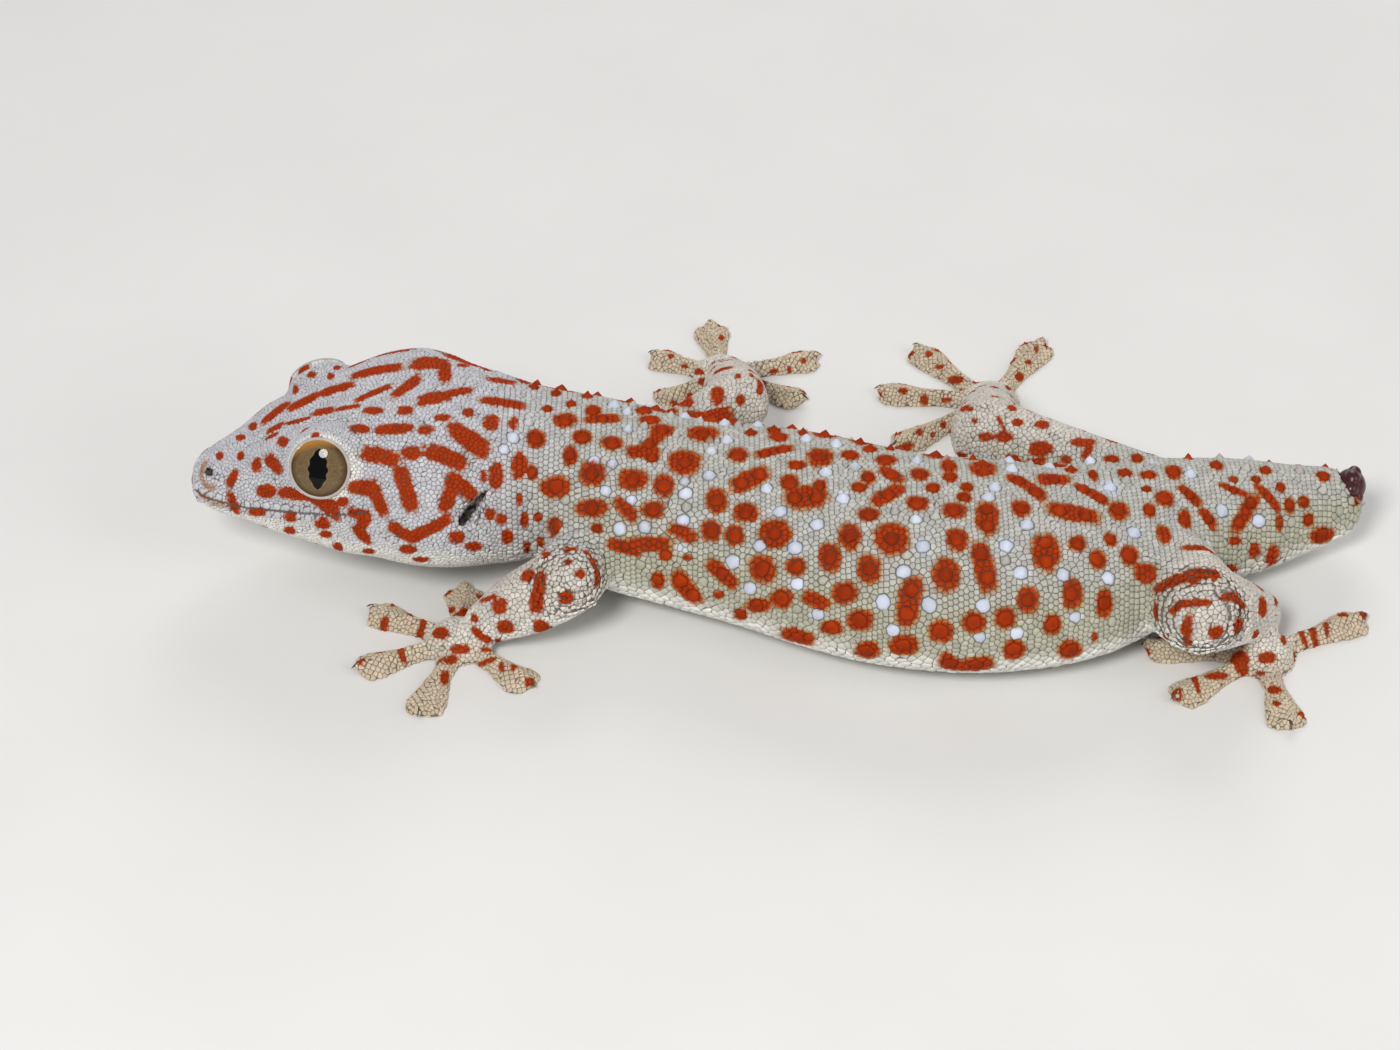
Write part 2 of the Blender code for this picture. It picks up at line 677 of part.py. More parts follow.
def finish(animal):
    for obj in animal.objects:
        obj.data.shade_smooth()
        obj.data.set_sharp_from_angle(angle=math.radians(40))


def main():
    clear_scene()
    animal = collection("tokay_gecko")
    cutters = collection("cutters")
    cutters.hide_render = True
    build_head(animal, cutters)
    build_trunk(animal, cutters)
    for limb, spec in LIMBS.items():
        build_limb(limb, spec, animal, cutters)
    stand_at_origin(animal)
    finish(animal)


main()
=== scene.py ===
"""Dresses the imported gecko: one skin with its scales, tubercles, markings, eyes, claws and wound.

MM is a millimetre in the frame's metres. Places read from the photograph are pixels of its 1400 x 1050
frame; each is cast onto the skin along the camera's own line of sight.
"""

import math

import bmesh
import bpy
import numpy as np
from bpy.props import FloatProperty, FloatVectorProperty, IntProperty, PointerProperty
from mathutils import Matrix, Vector
from mathutils.bvhtree import BVHTree
from mathutils.kdtree import KDTree


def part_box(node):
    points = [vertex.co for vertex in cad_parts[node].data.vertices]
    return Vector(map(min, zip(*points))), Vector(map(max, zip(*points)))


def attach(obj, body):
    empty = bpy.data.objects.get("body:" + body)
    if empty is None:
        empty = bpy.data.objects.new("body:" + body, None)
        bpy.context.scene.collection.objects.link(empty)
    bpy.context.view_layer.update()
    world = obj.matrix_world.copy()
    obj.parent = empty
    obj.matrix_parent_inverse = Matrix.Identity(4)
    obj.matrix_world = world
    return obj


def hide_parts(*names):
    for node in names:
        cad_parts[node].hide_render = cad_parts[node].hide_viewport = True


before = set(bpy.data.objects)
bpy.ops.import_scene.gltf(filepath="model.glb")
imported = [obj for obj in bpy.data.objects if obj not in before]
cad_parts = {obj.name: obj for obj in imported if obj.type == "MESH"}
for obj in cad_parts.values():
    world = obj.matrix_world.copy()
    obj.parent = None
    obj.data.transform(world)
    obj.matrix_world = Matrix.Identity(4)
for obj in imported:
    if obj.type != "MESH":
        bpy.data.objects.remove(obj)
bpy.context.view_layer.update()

bl_info = {
    "name": "Tokay gecko",
    "version": (1, 0, 0),
    "blender": (4, 5, 0),
    "location": "View3D > Sidebar > Gecko",
    "description": "Builds the gecko's skin, scales, eyes, claws and wound on its packed solids",
    "category": "Add Mesh",
}

MM = 0.001
WELD = 0.001 * MM  # points closer than this are one

HEAD_NODES = ("head", "lower_jaw")
TRUNK_NODES = ("neck", "torso", "hips", "tail_stump")
LIMB_NODES = tuple(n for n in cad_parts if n.split("_")[0] in ("upper", "forearm", "thigh", "shank"))
PALM_NODES = tuple(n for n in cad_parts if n.split("_")[0] in ("hand", "foot"))
TOE_NODES = tuple(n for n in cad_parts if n.startswith("toe_"))
FLESH = HEAD_NODES + TRUNK_NODES + LIMB_NODES + PALM_NODES + TOE_NODES
EYES = ("eye_left", "eye_right")

# The photograph's view.
PHOTO_SIZE = (1400, 1050)
VIEW_DOWN = math.radians(38)
VIEW_DISTANCE = 0.600
PIXEL = 0.158 * MM  # on the animal, at that distance
CAMERA_FROM_HAND = Vector((0.0376, -0.4550, 0.3794))  # from the floor under the left hand
SENSOR = 36.0
CLOSING_STEPS = 6  # from a line of sight that misses the skin to the skin's nearest place
GRAZING = 0.12  # a place turned less towards the camera than this is hidden
COVER = 1.5 * MM  # and so is one with skin at least this far in front of it
LEAST_FACING = 0.42  # a mark on skin that slants more is drawn out no farther

# The skin.
VOXEL = 0.61 * MM
GROWN = 0.2 * MM  # closes the gaps between nodes before they are made one
SCALE_DEPTH = 0.25 * MM
PALM_SHARE, TOE_SHARE = 0.6, 0.2  # of that depth, on palms and toes
SKIN_LIFT = 0.05 * MM  # of the lowest skin above the floor
GROOVE_DEPTH = 0.45 * MM  # the mouth line
GROOVE_REACH = 0.5 * MM
FOLD_PITCH = 1.25 * MM
FOLD_DEPTH = 0.9 * MM
CREASE_DEPTH, CREASE_REACH = 0.35 * MM, 0.9 * MM
LINE_FLOOR = 0.1 * MM  # half the flat bottom of the mouth line and the creases
LINE_PITCH = 0.2 * MM  # of the points along them
PATH_STEPS = 24  # between two corners of such a line
PATH_MARGIN = 1 * MM  # round a line, within which distances from it are worked out
PIT_DEPTH = 0.8 * MM  # of the nostrils and the ears
PIT_EDGE = (0.4, 1.1)  # where a pit's side begins and ends, against its mark
PIT_BARE = 0.8  # no scale grows nearer its middle
SOLID_CONE_SIDES, CONE_SPAN = 4, 2.5 * MM  # of the solids' cones
CONE_LEAST = 0.45 * MM  # they stand at least this high
CONE_NARROW, CONE_WIDE = 1.4 * MM, 2.5 * MM  # of the tubercles in the spots
PALE_CONE, SPOT_CONE = 2.4, 1.7  # their width against half the breadth of their mark
CONE_ROOM = 2.3 * MM
FLANK_HEIGHT = 0.42  # of a tubercle low on the side, against one of the back
LONG_SPOT = 3.0 * MM  # half the length of a spot with two tubercles

# The raw end of the stump, against its solid.
WOUND_SHIFT = Vector((-0.4, -0.9, 1.1)) * MM
WOUND_GROWTH = 1.12
WOUND_REACH = 3.1 * MM  # no scale grows nearer its middle
WOUND_VOXEL = 0.16 * MM
CORE_SHARE = 0.8  # of the whole's size, for the lump in the middle
LUMPS, LUMP_RING = 7, 0.55  # the lumps round it, and how far out they sit
LUMP_BACK, LUMP_SHARE = (-0.1, 0.3), (0.36, 0.44)  # how far back they sit, and their size

# The eyes. Z looks out of the eye from its middle.
EYE_FRONT = 5.4 * MM
CAP_RADIUS = 9.75 * MM  # of the iris and cornea, flatter than the ball behind them
CAP_EDGE, BALL_FROM = math.radians(47.3), math.radians(75)
IRIS_RADIUS = 4.35 * MM
LID_RADIUS, LID_RISE, LID_THICK = 4.62 * MM, 4.16 * MM, 0.27 * MM
SOCKET_REACH = 7.5 * MM  # no scale grows nearer the eye's middle, on skin that turns in towards it
SOCKET_INWARD = 0.3
SOCKET_OVERLAP = 0.02  # scales reach this far, in radians, over the cap's edge
GAZE_RAYS = 2400  # tried from the eye's middle, to find where its lids are open

# The claws.
CLAW_ROOT, CLAW_TIP = 0.4 * MM, 0.04 * MM
CLAW_RINGS, CLAW_BEND = 6, 0.32 * MM
CLAW_DIP, CLAW_LIFT = 0.35, 0.02 * MM  # how steeply it points down, and its height above the floor

# Scales.
TIGHT = 1.02  # how close scales are pushed, against their nominal size
CELL_SHARE = 0.965  # the rest is the dark line between scales, where the skin's painted shade shows
CELL_LIMIT = 0.85  # the farthest a scale's side lies from its middle, against its width
NEIGHBOURS, FRAME_SIDES = 10, 6  # that bound a cell: its nearest scales, and a frame where there are none
CELL_BATCH = 4000  # cells worked out at once
NEARLY_PARALLEL, ON_LINE = 1e-3, 1.0001  # for the lines between cells
CROWDING = 0.42  # of two scales' widths: the later of two scales nearer than that goes
PUSHERS, SPREAD_ROUNDS = 9, 4  # nearest scales that push one away, itself counted, and how often
PUSH_SHARE, PUSH_LIMIT = 0.32, 0.4  # of the overlap in one round, and at most of the scale's width
GRANULE_SIDES, CONE_SIDES = 7, 12
GRANULE = ((1.0, -0.3), (0.9, 0.5), (0.66, 0.86))  # reach and height of each ring, from the rim up
DISC = ((1.0, -0.2), (0.9, 0.42), (0.6, 0.84))
SPIKE = ((1.0, -0.2), (0.8, 0.26), (0.45, 0.62))
SCALE_RISE, SCALE_TALLEST = 0.3, 1.2  # against a scale's width, and at most against its depth
UNEVEN = (0.85, 1.1)  # from scale to scale, in height
BACK_FADE = (0.45, 0.85)  # from the flank's tubercles to the back's, by the normal's rise
FLANK_FADE, BELLY_FADE = (5 * MM, 14 * MM), (0.1, 0.6)  # by the height, and by the normal's fall
CROWN_FADE, CROWN_GROWTH = (20 * MM, 52 * MM), 0.28  # granules grow back from the snout
LID_FADE = (6.3 * MM, 8.5 * MM)  # to the fine scales at the eye's rim
SOLE = -0.55  # a toe's skin that faces down more than this is bare
LOOSE = 230000  # places tried for scales that stand in no row
PATCH = 0.003  # of each scale on its map
MAP_EDGE, STRIP_EDGE = 0.01, 0.02  # left free on the map, and in each node's strip
PIECE_SCALES = 4900  # the most scales in one piece
ROW_PITCH, ROW_STRAY = 0.87, 0.1  # against a granule's width
ROW_TURN = math.radians(-40), math.radians(220)  # from flank to flank over the back
ROW_RAYS, ROW_REACH = 150, 24 * MM  # that find the skin round a row
ROW_MISSED = 12  # millimetres out, where a ray finds none
FOLD_SCALE = 1.25  # pitch along a fold, against a scale's width
RING_STEPS = 5  # between the skin and a fold's circle, until its places lie on both
LABIAL_LENGTH = 1.7 * MM
LABIAL_SHARE = 0.75  # a lip plate's width against its length
LABIAL_OFFSET = 0.74 * MM
SEAM_PITCH, SEAM_WIDTH = 0.4 * MM, 0.3 * MM  # the open line along the mouth
TOE_ROW, TOE_PLATE = 0.62 * MM, 0.95 * MM  # along and across the toes' upper side
TOE_HALF, TOE_PLATES = 9 * MM, 4  # rows and plates tried each way from a toe's middle

# Markings: (u, v, width, height) for spots; (width, points) for bars.
HEAD_SPOTS = (
    (220, 456, 9, 9), (241, 456, 9, 10), (257, 465, 13, 16),
    (283, 442, 13, 11), (253, 427, 11, 9), (241, 438, 12, 7), (312, 375, 10, 8), (331, 377, 8, 8),
    (296, 390, 7, 12), (337, 368, 8, 5), (267, 491, 22, 15), (343, 501, 13, 11), (258, 512, 20, 9),
    (291, 517, 15, 11), (323, 523, 18, 11), (326, 534, 15, 8), (290, 530, 14, 8), (263, 526, 12, 4),
    (315, 547, 9, 6), (338, 547, 12, 12), (369, 551, 14, 7), (360, 429, 22, 10), (426, 430, 18, 11),
    (373, 411, 22, 9), (405, 411, 17, 11), (443, 418, 18, 8), (468, 413, 12, 10), (491, 423, 17, 18),
    (513, 424, 11, 15), (463, 366, 12, 6), (411, 453, 22, 16), (519, 466, 17, 30), (532, 473, 12, 18),
    (496, 476, 16, 30), (483, 476, 7, 14), (457, 537, 17, 14), (474, 546, 18, 10), (507, 536, 13, 17),
    (490, 514, 12, 14), (501, 519, 12, 12), (519, 499, 7, 16), (524, 519, 9, 17), (538, 517, 9, 11),
    (527, 547, 9, 12), (541, 541, 8, 12), (408, 549, 19, 10), (421, 559, 18, 6), (557, 527, 11, 22),
)
HEAD_BARS = (
    (13, ((269, 459), (278, 468))), (10, ((235, 474), (230, 484))), (5, ((266, 438), (277, 434))),
    (6, ((268, 432), (283, 424))), (9, ((264, 422), (287, 404))),
    (9.5, ((290, 409), (320, 394), (352, 385))),
    (8, ((314, 414), (333, 410))), (4, ((287, 424), (310, 418))), (5, ((336, 410), (359, 406))),
    (12, ((282, 491), (310, 497), (336, 506))), (9, ((231, 495), (238, 509))),
    (12, ((380, 430), (410, 428))),
    (20, ((456, 430), (481, 449))), (11, ((396, 396), (416, 380))), (7, ((357, 401), (390, 386))),
    (10, ((352, 375), (401, 366))), (14, ((416, 363), (443, 363), (446, 378))),
    (13, ((423, 400), (446, 396))),
    (9, ((448, 395), (468, 390))), (10, ((484, 401), (522, 406))), (7, ((489, 380), (514, 383))),
    (18, ((367, 453), (393, 459))), (18, ((431, 451), (461, 463))),
    (16, ((355, 487), (373, 487), (383, 511))),
    (18, ((401, 473), (406, 489), (411, 504))), (16, ((446, 506), (454, 479), (473, 496))),
    (12, ((352, 512), (368, 516), (358, 529), (366, 539))),
    (13, ((393, 527), (411, 537), (426, 531), (448, 519))),
)
ARM_SPOTS = (
    (528, 576, 15, 13), (566, 596, 15, 14), (580, 574, 10, 10), (568, 564, 9, 7), (571, 551, 15, 6),
    (500, 606, 16, 15), (506, 627, 19, 13), (543, 628, 18, 13), (498, 640, 6, 6), (475, 618, 8, 9),
    (463, 614, 9, 12), (460, 649, 18, 10), (440, 633, 18, 12), (418, 643, 8, 12), (401, 650, 7, 10),
    (382, 649, 8, 8), (434, 615, 13, 7), (414, 612, 9, 10), (394, 602, 6, 5), (450, 660, 13, 9),
    (444, 678, 8, 14), (486, 650, 10, 6), (502, 667, 6, 10), (514, 667, 7, 6),
    (671, 356, 7, 6), (685, 366, 8, 5), (699, 372, 10, 8), (721, 338, 6, 7), (726, 351, 12, 5),
    (733, 359, 8, 4), (774, 371, 10, 5), (789, 370, 5, 8), (803, 361, 7, 6), (738, 377, 6, 6),
    (751, 376, 6, 8), (760, 386, 7, 18), (703, 382, 11, 9), (717, 396, 15, 20), (740, 400, 10, 12),
    (684, 402, 20, 14),
)
ARM_BARS = (
    (14, ((541, 580), (536, 606))), (4, ((587, 551), (597, 567), (597, 584))), (5, ((482, 601), (495, 597))),
    (8, ((474, 630), (487, 640))), (5, ((480, 665), (493, 659))), (6, ((715, 372), (730, 368))),
)
TRUNK_SPOTS = (
    (556, 487, 28, 22), (536, 439, 17, 18), (570, 456, 14, 20), (592, 474, 24, 24), (565, 421, 22, 14),
    (582, 438, 18, 15), (592, 508, 31, 17), (593, 412, 15, 13), (612, 444, 22, 13), (645, 406, 16, 9),
    (670, 412, 15, 9), (650, 421, 20, 9), (662, 431, 24, 13), (652, 458, 14, 10), (703, 434, 30, 15),
    (685, 463, 30, 23), (633, 480, 28, 20), (664, 486, 19, 22), (717, 501, 20, 24), (746, 513, 24, 19),
    (738, 456, 19, 15), (653, 510, 23, 16), (597, 529, 12, 9), (712, 531, 19, 20), (735, 536, 18, 19),
    (666, 555, 12, 12), (688, 557, 10, 6), (658, 580, 13, 16), (719, 594, 10, 8), (774, 428, 14, 12),
    (779, 438, 18, 10), (751, 434, 12, 7), (803, 431, 9, 11), (820, 458, 25, 18), (797, 466, 18, 9),
    (790, 484, 18, 18), (806, 498, 40, 22), (820, 487, 13, 14), (850, 456, 16, 10), (860, 444, 12, 8),
    (870, 450, 15, 9), (890, 450, 10, 7), (902, 450, 12, 10), (886, 461, 21, 11), (868, 478, 14, 13),
    (859, 488, 16, 10), (869, 515, 21, 13), (850, 537, 21, 25), (892, 539, 33, 28), (775, 534, 31, 27),
    (763, 569, 24, 26), (796, 567, 19, 17), (830, 558, 21, 27), (869, 569, 22, 28), (845, 593, 23, 21),
    (782, 598, 21, 19), (758, 605, 23, 13), (741, 614, 13, 12), (860, 620, 24, 20), (832, 627, 20, 14),
    (867, 650, 23, 17), (904, 645, 27, 19), (961, 456, 12, 9), (949, 467, 15, 14), (950, 478, 14, 10),
    (920, 475, 18, 12), (983, 469, 25, 17), (933, 489, 14, 10), (967, 488, 12, 9), (964, 498, 14, 10),
    (917, 504, 21, 14), (954, 511, 24, 15), (987, 518, 22, 31), (957, 540, 20, 22), (946, 575, 25, 31),
    (1021, 509, 18, 16), (1046, 552, 27, 34), (1071, 471, 12, 9), (1015, 461, 14, 7), (1041, 461, 10, 7),
    (1066, 460, 11, 8), (941, 631, 22, 22), (974, 622, 23, 20), (1005, 618, 20, 20), (1028, 600, 21, 25),
    (1014, 649, 20, 19), (1093, 476, 9, 12), (1125, 474, 14, 9), (1148, 476, 18, 8), (1173, 473, 17, 14),
    (1216, 466, 13, 9), (1233, 480, 9, 6), (1256, 480, 10, 7), (1265, 471, 12, 8), (1280, 488, 10, 10),
    (1289, 506, 11, 16), (1279, 523, 8, 17), (1118, 511, 20, 18), (1149, 511, 13, 13), (1146, 490, 10, 6),
    (1164, 499, 18, 16), (1184, 521, 13, 19), (1164, 535, 13, 17), (1077, 544, 16, 15), (1110, 540, 13, 13),
    (1097, 560, 16, 18), (1129, 556, 18, 18), (1146, 574, 20, 20), (1072, 594, 19, 28), (1104, 603, 16, 27),
    (1052, 624, 17, 20), (1070, 649, 22, 18), (1094, 636, 6, 8), (1112, 460, 15, 7), (1137, 459, 12, 9),
    (1321, 535, 26, 16), (1303, 502, 12, 12), (1323, 477, 14, 10), (1308, 520, 12, 12), (537, 377, 10, 8),
    (557, 387, 10, 8), (587, 397, 11, 8), (547, 410, 10, 7), (571, 405, 10, 7),
)
TRUNK_BARS = (
    (9, ((590, 420), (615, 419))), (12, ((633, 452), (652, 452))), (12, ((648, 446), (660, 435))),
    (8, ((689, 414), (709, 419))), (13, ((621, 505), (631, 515))), (13, ((676, 530), (691, 537))),
    (12, ((616, 544), (634, 550))), (14, ((634, 544), (664, 544))), (17, ((741, 484), (760, 475))),
    (16, ((680, 580), (694, 596))), (14, ((715, 567), (730, 580))), (8, ((760, 455), (788, 449))),
    (11, ((885, 472), (898, 479))), (13, ((879, 500), (897, 491))), (14, ((811, 598), (822, 603))),
    (13, ((789, 634), (807, 639))), (21, ((911, 590), (907, 614))), (19, ((981, 553), (987, 579))),
    (10, ((1013, 479), (1025, 485))), (12, ((1031, 489), (1040, 496))), (11, ((1042, 480), (1064, 480))),
    (13, ((946, 660), (956, 665))), (13, ((966, 665), (985, 663))), (15, ((1055, 510), (1090, 517))),
    (9, ((1080, 488), (1103, 501))), (7, ((1222, 486), (1244, 495))), (14, ((1236, 526), (1254, 500))),
    (9, ((1260, 488), (1276, 507))), (10, ((1184, 490), (1196, 502))), (10, ((1204, 513), (1212, 525))),
)
LEG_SPOTS = (
    (1231, 568, 15, 8), (1234, 541, 14, 9), (1254, 551, 12, 16), (1272, 556, 14, 22), (1216, 633, 15, 15),
    (1237, 626, 15, 19), (1262, 607, 11, 20), (1255, 634, 8, 10), (1275, 600, 5, 12), (1238, 659, 20, 13),
    (1267, 658, 18, 12), (1262, 674, 8, 5), (1283, 640, 6, 10), (1299, 628, 6, 13), (1311, 628, 8, 12),
    (1326, 626, 5, 12), (1343, 616, 10, 7), (1274, 690, 12, 8), (1277, 704, 8, 5), (1217, 676, 24, 8),
    (1195, 680, 6, 12), (1166, 636, 5, 8),
    (903, 391, 10, 8), (924, 400, 9, 12), (947, 400, 12, 6), (929, 354, 8, 8), (940, 367, 10, 6),
    (956, 380, 16, 9), (972, 393, 12, 7), (1036, 349, 5, 9), (1028, 363, 8, 6), (1019, 377, 10, 10),
    (919, 432, 8, 8), (932, 435, 5, 7), (943, 425, 6, 8), (966, 409, 14, 7), (994, 388, 10, 6),
    (1008, 388, 9, 7), (1012, 409, 9, 7), (1018, 423, 12, 8), (1042, 425, 16, 9), (986, 437, 14, 10),
    (1004, 437, 18, 12), (975, 421, 6, 6), (1041, 449, 23, 16), (1012, 457, 12, 6),
)
LEG_BARS = (
    (12, ((1161, 588), (1189, 576), (1216, 573))), (8, ((1173, 611), (1180, 604), (1205, 602))),
    (5, ((1182, 551), (1214, 549))), (5, ((1154, 603), (1157, 620))), (8, ((1184, 624), (1189, 643))),
    (9, ((1222, 598), (1234, 596), (1242, 605))), (9, ((1075, 443), (1092, 442))),
    (8, ((1090, 446), (1084, 457))),
    (5, ((999, 418), (1004, 430))),
)
PALE_SPOTS = (
    (1110, 488, 22, 18), (1134, 533, 15, 14), (1063, 575, 14, 13), (1108, 578, 14, 13), (1075, 617, 14, 10),
    (1190, 475, 12, 14), (1222, 511, 14, 14), (1259, 521, 14, 13), (513, 438, 12, 11), (504, 450, 10, 9),
    (594, 461, 11, 10), (613, 464, 10, 9), (606, 491, 16, 10), (632, 500, 16, 9), (709, 476, 13, 9),
    (686, 494, 16, 12), (685, 482, 10, 8), (683, 521, 16, 12), (645, 527, 12, 14), (620, 529, 13, 15),
    (683, 548, 16, 10), (733, 562, 16, 15), (760, 546, 14, 12), (795, 548, 17, 15), (797, 584, 17, 12),
    (711, 452, 10, 6), (627, 413, 10, 6), (628, 430, 12, 6), (614, 406, 14, 8), (724, 425, 12, 8),
    (727, 441, 13, 8), (767, 489, 12, 9), (780, 512, 20, 10), (817, 525, 16, 12), (843, 499, 16, 13),
    (826, 473, 14, 8), (855, 468, 12, 6), (806, 440, 12, 7), (836, 445, 13, 9), (904, 572, 15, 14),
    (883, 602, 17, 15), (893, 630, 14, 11), (818, 614, 16, 10), (750, 588, 14, 12), (923, 547, 17, 16),
    (1006, 546, 17, 14), (1027, 525, 14, 9), (1021, 573, 17, 15), (995, 488, 15, 9), (988, 498, 13, 8),
    (916, 520, 12, 8), (985, 456, 11, 7), (917, 462, 10, 7), (1012, 470, 13, 7), (929, 605, 15, 16),
    (983, 606, 14, 15), (980, 637, 14, 9), (1017, 633, 17, 11), (1153, 462, 11, 7), (1090, 462, 11, 7),
)
NAPE_PIXEL = (528, 420)  # tubercles start behind it
AMBER_SPOTS = ((213, 487, 8, 6),)
AMBER_BARS = (
    (5, ((206, 463), (202, 470), (202, 480), (208, 487))), (5, ((199, 494), (209, 499))),
    (5, ((213, 503), (224, 505))),
)
# The nostril and the ear opening: painted shade, near black, deep in their pits.
PIT_SHADE_SPOTS = ((209, 472, 9, 8.5),)
PIT_SHADE_BARS = ((9, ((460, 524), (471, 510))), (5.5, ((470, 511), (486, 492))))
MOUTH_LINE = (
    (195.5, 490), (203, 496.5), (213, 500), (227, 503.5), (247, 507.8), (267, 509.5), (289, 512), (315, 514),
    (333, 515.5), (349, 513.5), (368, 512),
)
SPOTS = (
    ("head", HEAD_SPOTS), ("trunk", TRUNK_SPOTS), ("limb", ARM_SPOTS + LEG_SPOTS), ("pale", PALE_SPOTS),
    ("dark", PIT_SHADE_SPOTS), ("halo", AMBER_SPOTS),
)
BARS = (
    ("head", HEAD_BARS), ("trunk", TRUNK_BARS), ("limb", ARM_BARS + LEG_BARS), ("dark", PIT_SHADE_BARS),
    ("halo", AMBER_BARS),
)
# Creases: over and round the eye, behind the jaw, at the shoulder, and before the thigh.
CREASES = (
    ((246, 445), (266, 433), (290, 422), (323, 419), (354, 419)),
    ((352, 430), (362, 448), (366, 470), (362, 490), (350, 503)),
    ((560, 548), (552, 530), (549, 508), (552, 490)),
    ((532, 557), (521, 529), (530, 497)), ((535, 557), (550, 540), (571, 529), (600, 524)),
    ((557, 557), (571, 543), (600, 536)), ((1146, 605), (1150, 580), (1168, 560), (1200, 545)),
)
# The bent knee and elbow: the middle of their ring folds, and the radius of the first.
FOLDS = (((1203, 622), 5.4 * MM), ((577, 575), 3.5 * MM))
FOLD_RINGS = 4

# Marks, against their own half length and half breadth.
MARK_THICK = 1.3  # how deep and how high they reach
OVAL_POWER, BAR_POWER = 2.2, 3.2  # 2 gives an ellipse, more a squarer end
OUTSIDE = 9.0  # farther out than any mark, and more than any angle
HEAD_EDGE, SPOT_EDGE = 0.88, 0.97  # where their orange ends
EDGE_BLUR, EDGE_STRAY = 0.05, 0.1  # how soft that edge is, and how far it strays from scale to scale
EMBER_FADE = (0.3, 0.62)  # of the darker middle
HALO = {"trunk": (1.4, 0.9), "limb": (1.3, 0.5), "head": (1.3, 0.55)}  # its reach and its strength
AMBER_FADE, AMBER_STRENGTH = (0.7, 1.4), 0.7
LOW_EMBER, LOW_LIGHT = 0.3, 0.5  # how much of these a scale that is no tubercle takes on

# Marks strewn over the side that the camera misses.
STREWN_TRIES = 6000
UNDERSIDE = -0.35  # none lies on skin whose normal rises less
TRUNK_ROOM, LIMB_ROOM = 4.0 * MM, 3.1 * MM  # from middle to middle; the head has the limbs' room
STREWN_LENGTH, STREWN_BREADTH = (0.7, 1.3), (0.6, 1.0)  # half of each, in millimetres
STREWN_PALE = 0.25  # share of the trunk's that are pale

# Ground colours, and where they pass into one another.
TRUNK_TONE = 12 * MM, 16 * MM  # before and behind the neck's middle
TOP_GREY, TOP_FADE = 0.45, (0.5, 0.95)  # the back's share of the head's grey, by the normal's rise
LOW_PALE, LOW_FADE = 0.5, (3 * MM, 11 * MM)  # by the height
UNDER_FADE = (0.0, 0.55)  # by the normal's fall
RING_PALE, RING_REACH = 0.75, 8 * MM  # pale scales round the eye
RING_TURN = math.radians(52), math.radians(66)  # where they end
LIMB_FADE, TOE_FADE = (1 * MM, 9 * MM), (1 * MM, 8 * MM)  # out from the trunk, and from the palm's middle
TOE_OVER_BELLY = 0.8  # how much the toes' colour takes from the belly's
LINE_SHADE, LINE_FADE = 0.5, (0.15 * MM, 0.45 * MM)  # painted shade along the mouth line's groove
SKIN_GRAIN, GAP_SHARE = 0.4, 0.75  # of the skin between scales; the second darkens it with painted shade

# The studio: name, place, size and power of each lamp.
LAMPS = (
    ("key", (-0.24, -0.64, 0.68), 0.26, 6.2),
    ("fill", (0.65, -0.35, 0.45), 0.6, 1.8),
    ("rim", (0.1, 0.7, 0.5), 0.5, 2.2),
)
LAMPS_AIM = Vector((0, 0, 0.01))
FLOOR_HALF = 3.0


def linear(code):
    """A colour of six sRGB hex digits as linear red, green, blue and alpha."""
    parts = [int(code[i : i + 2], 16) / 255 for i in (0, 2, 4)]
    return tuple(c / 12.92 if c <= 0.04045 else ((c + 0.055) / 1.055) ** 2.4 for c in parts) + (1.0,)


def colour(name, code):
    """A colour for the panel, from its sRGB hex digits."""
    tone = linear(code)
    return FloatVectorProperty(
        name=name, description=name, subtype="COLOR", size=4, min=0, max=1, default=tone
    )


def size(name, millimetres):
    """A length for the panel."""
    metres = millimetres * MM
    return FloatProperty(name=name, description=name, unit="LENGTH", min=0, precision=5, default=metres)


class GeckoSizes(bpy.types.PropertyGroup):
    head_scale: size("Width of a granule of the head", 0.53)
    eye_scale: size("Width of a scale at the eye's rim", 0.46)
    back_scale: size("Width of a granule of the back", 0.92)
    flank_scale: size("Width of a scale low on the flank", 1.12)
    belly_scale: size("Width of a belly scale", 1.35)
    limb_scale: size("Width of a scale of the limbs", 0.7)
    toe_scale: size("Width of a scale of the toes", 0.6)
    tubercle: size("Width of a plain tubercle", 1.7)
    tubercle_height: size("Height of a tubercle", 1.1)
    claw: size("Length of a claw", 1.9)
    seed: IntProperty(name="Seed", description="Seed of every random choice", default=7)


class GeckoColours(bpy.types.PropertyGroup):
    head: colour("Ground colour of the head", "BDBCC0")
    trunk: colour("Ground colour of the trunk", "ADAB99")
    limb: colour("Ground colour of the limbs", "C8C2B8")
    belly: colour("Colour of the throat and belly", "E2E0D8")
    toe: colour("Colour of the toes", "C6B69E")
    halo: colour("Yellow brown round the spots", "9E641A")
    pale: colour("Pale tubercles", "C8CEDC")
    orange: colour("Orange spots", "A03200")
    ember: colour("Middle of the orange spots", "902A02")
    # painted shade: the near black of the ear opening, the nostrils and the mouth line
    dark: colour("Ear opening and nostril", "2A2426")
    # painted shade: the dark brown of the skin seen in the gaps between scales
    between: colour("Skin between the scales", "52483E")
    iris: colour("Iris", "74603F")
    rim: colour("Edge of the lids", "B8B2AA")
    claw: colour("Claws", "5A4432")
    flesh: colour("Raw end of the stump", "4E1014")


def unit(rows):
    """Each row of an array brought to length one."""
    return rows / np.maximum(np.linalg.norm(rows, axis=-1, keepdims=True), 1e-12)


def step(low, high, values):
    """A smooth rise from 0 at low to 1 at high."""
    t = np.clip((values - low) / (high - low), 0, 1)
    return t * t * (3 - 2 * t)


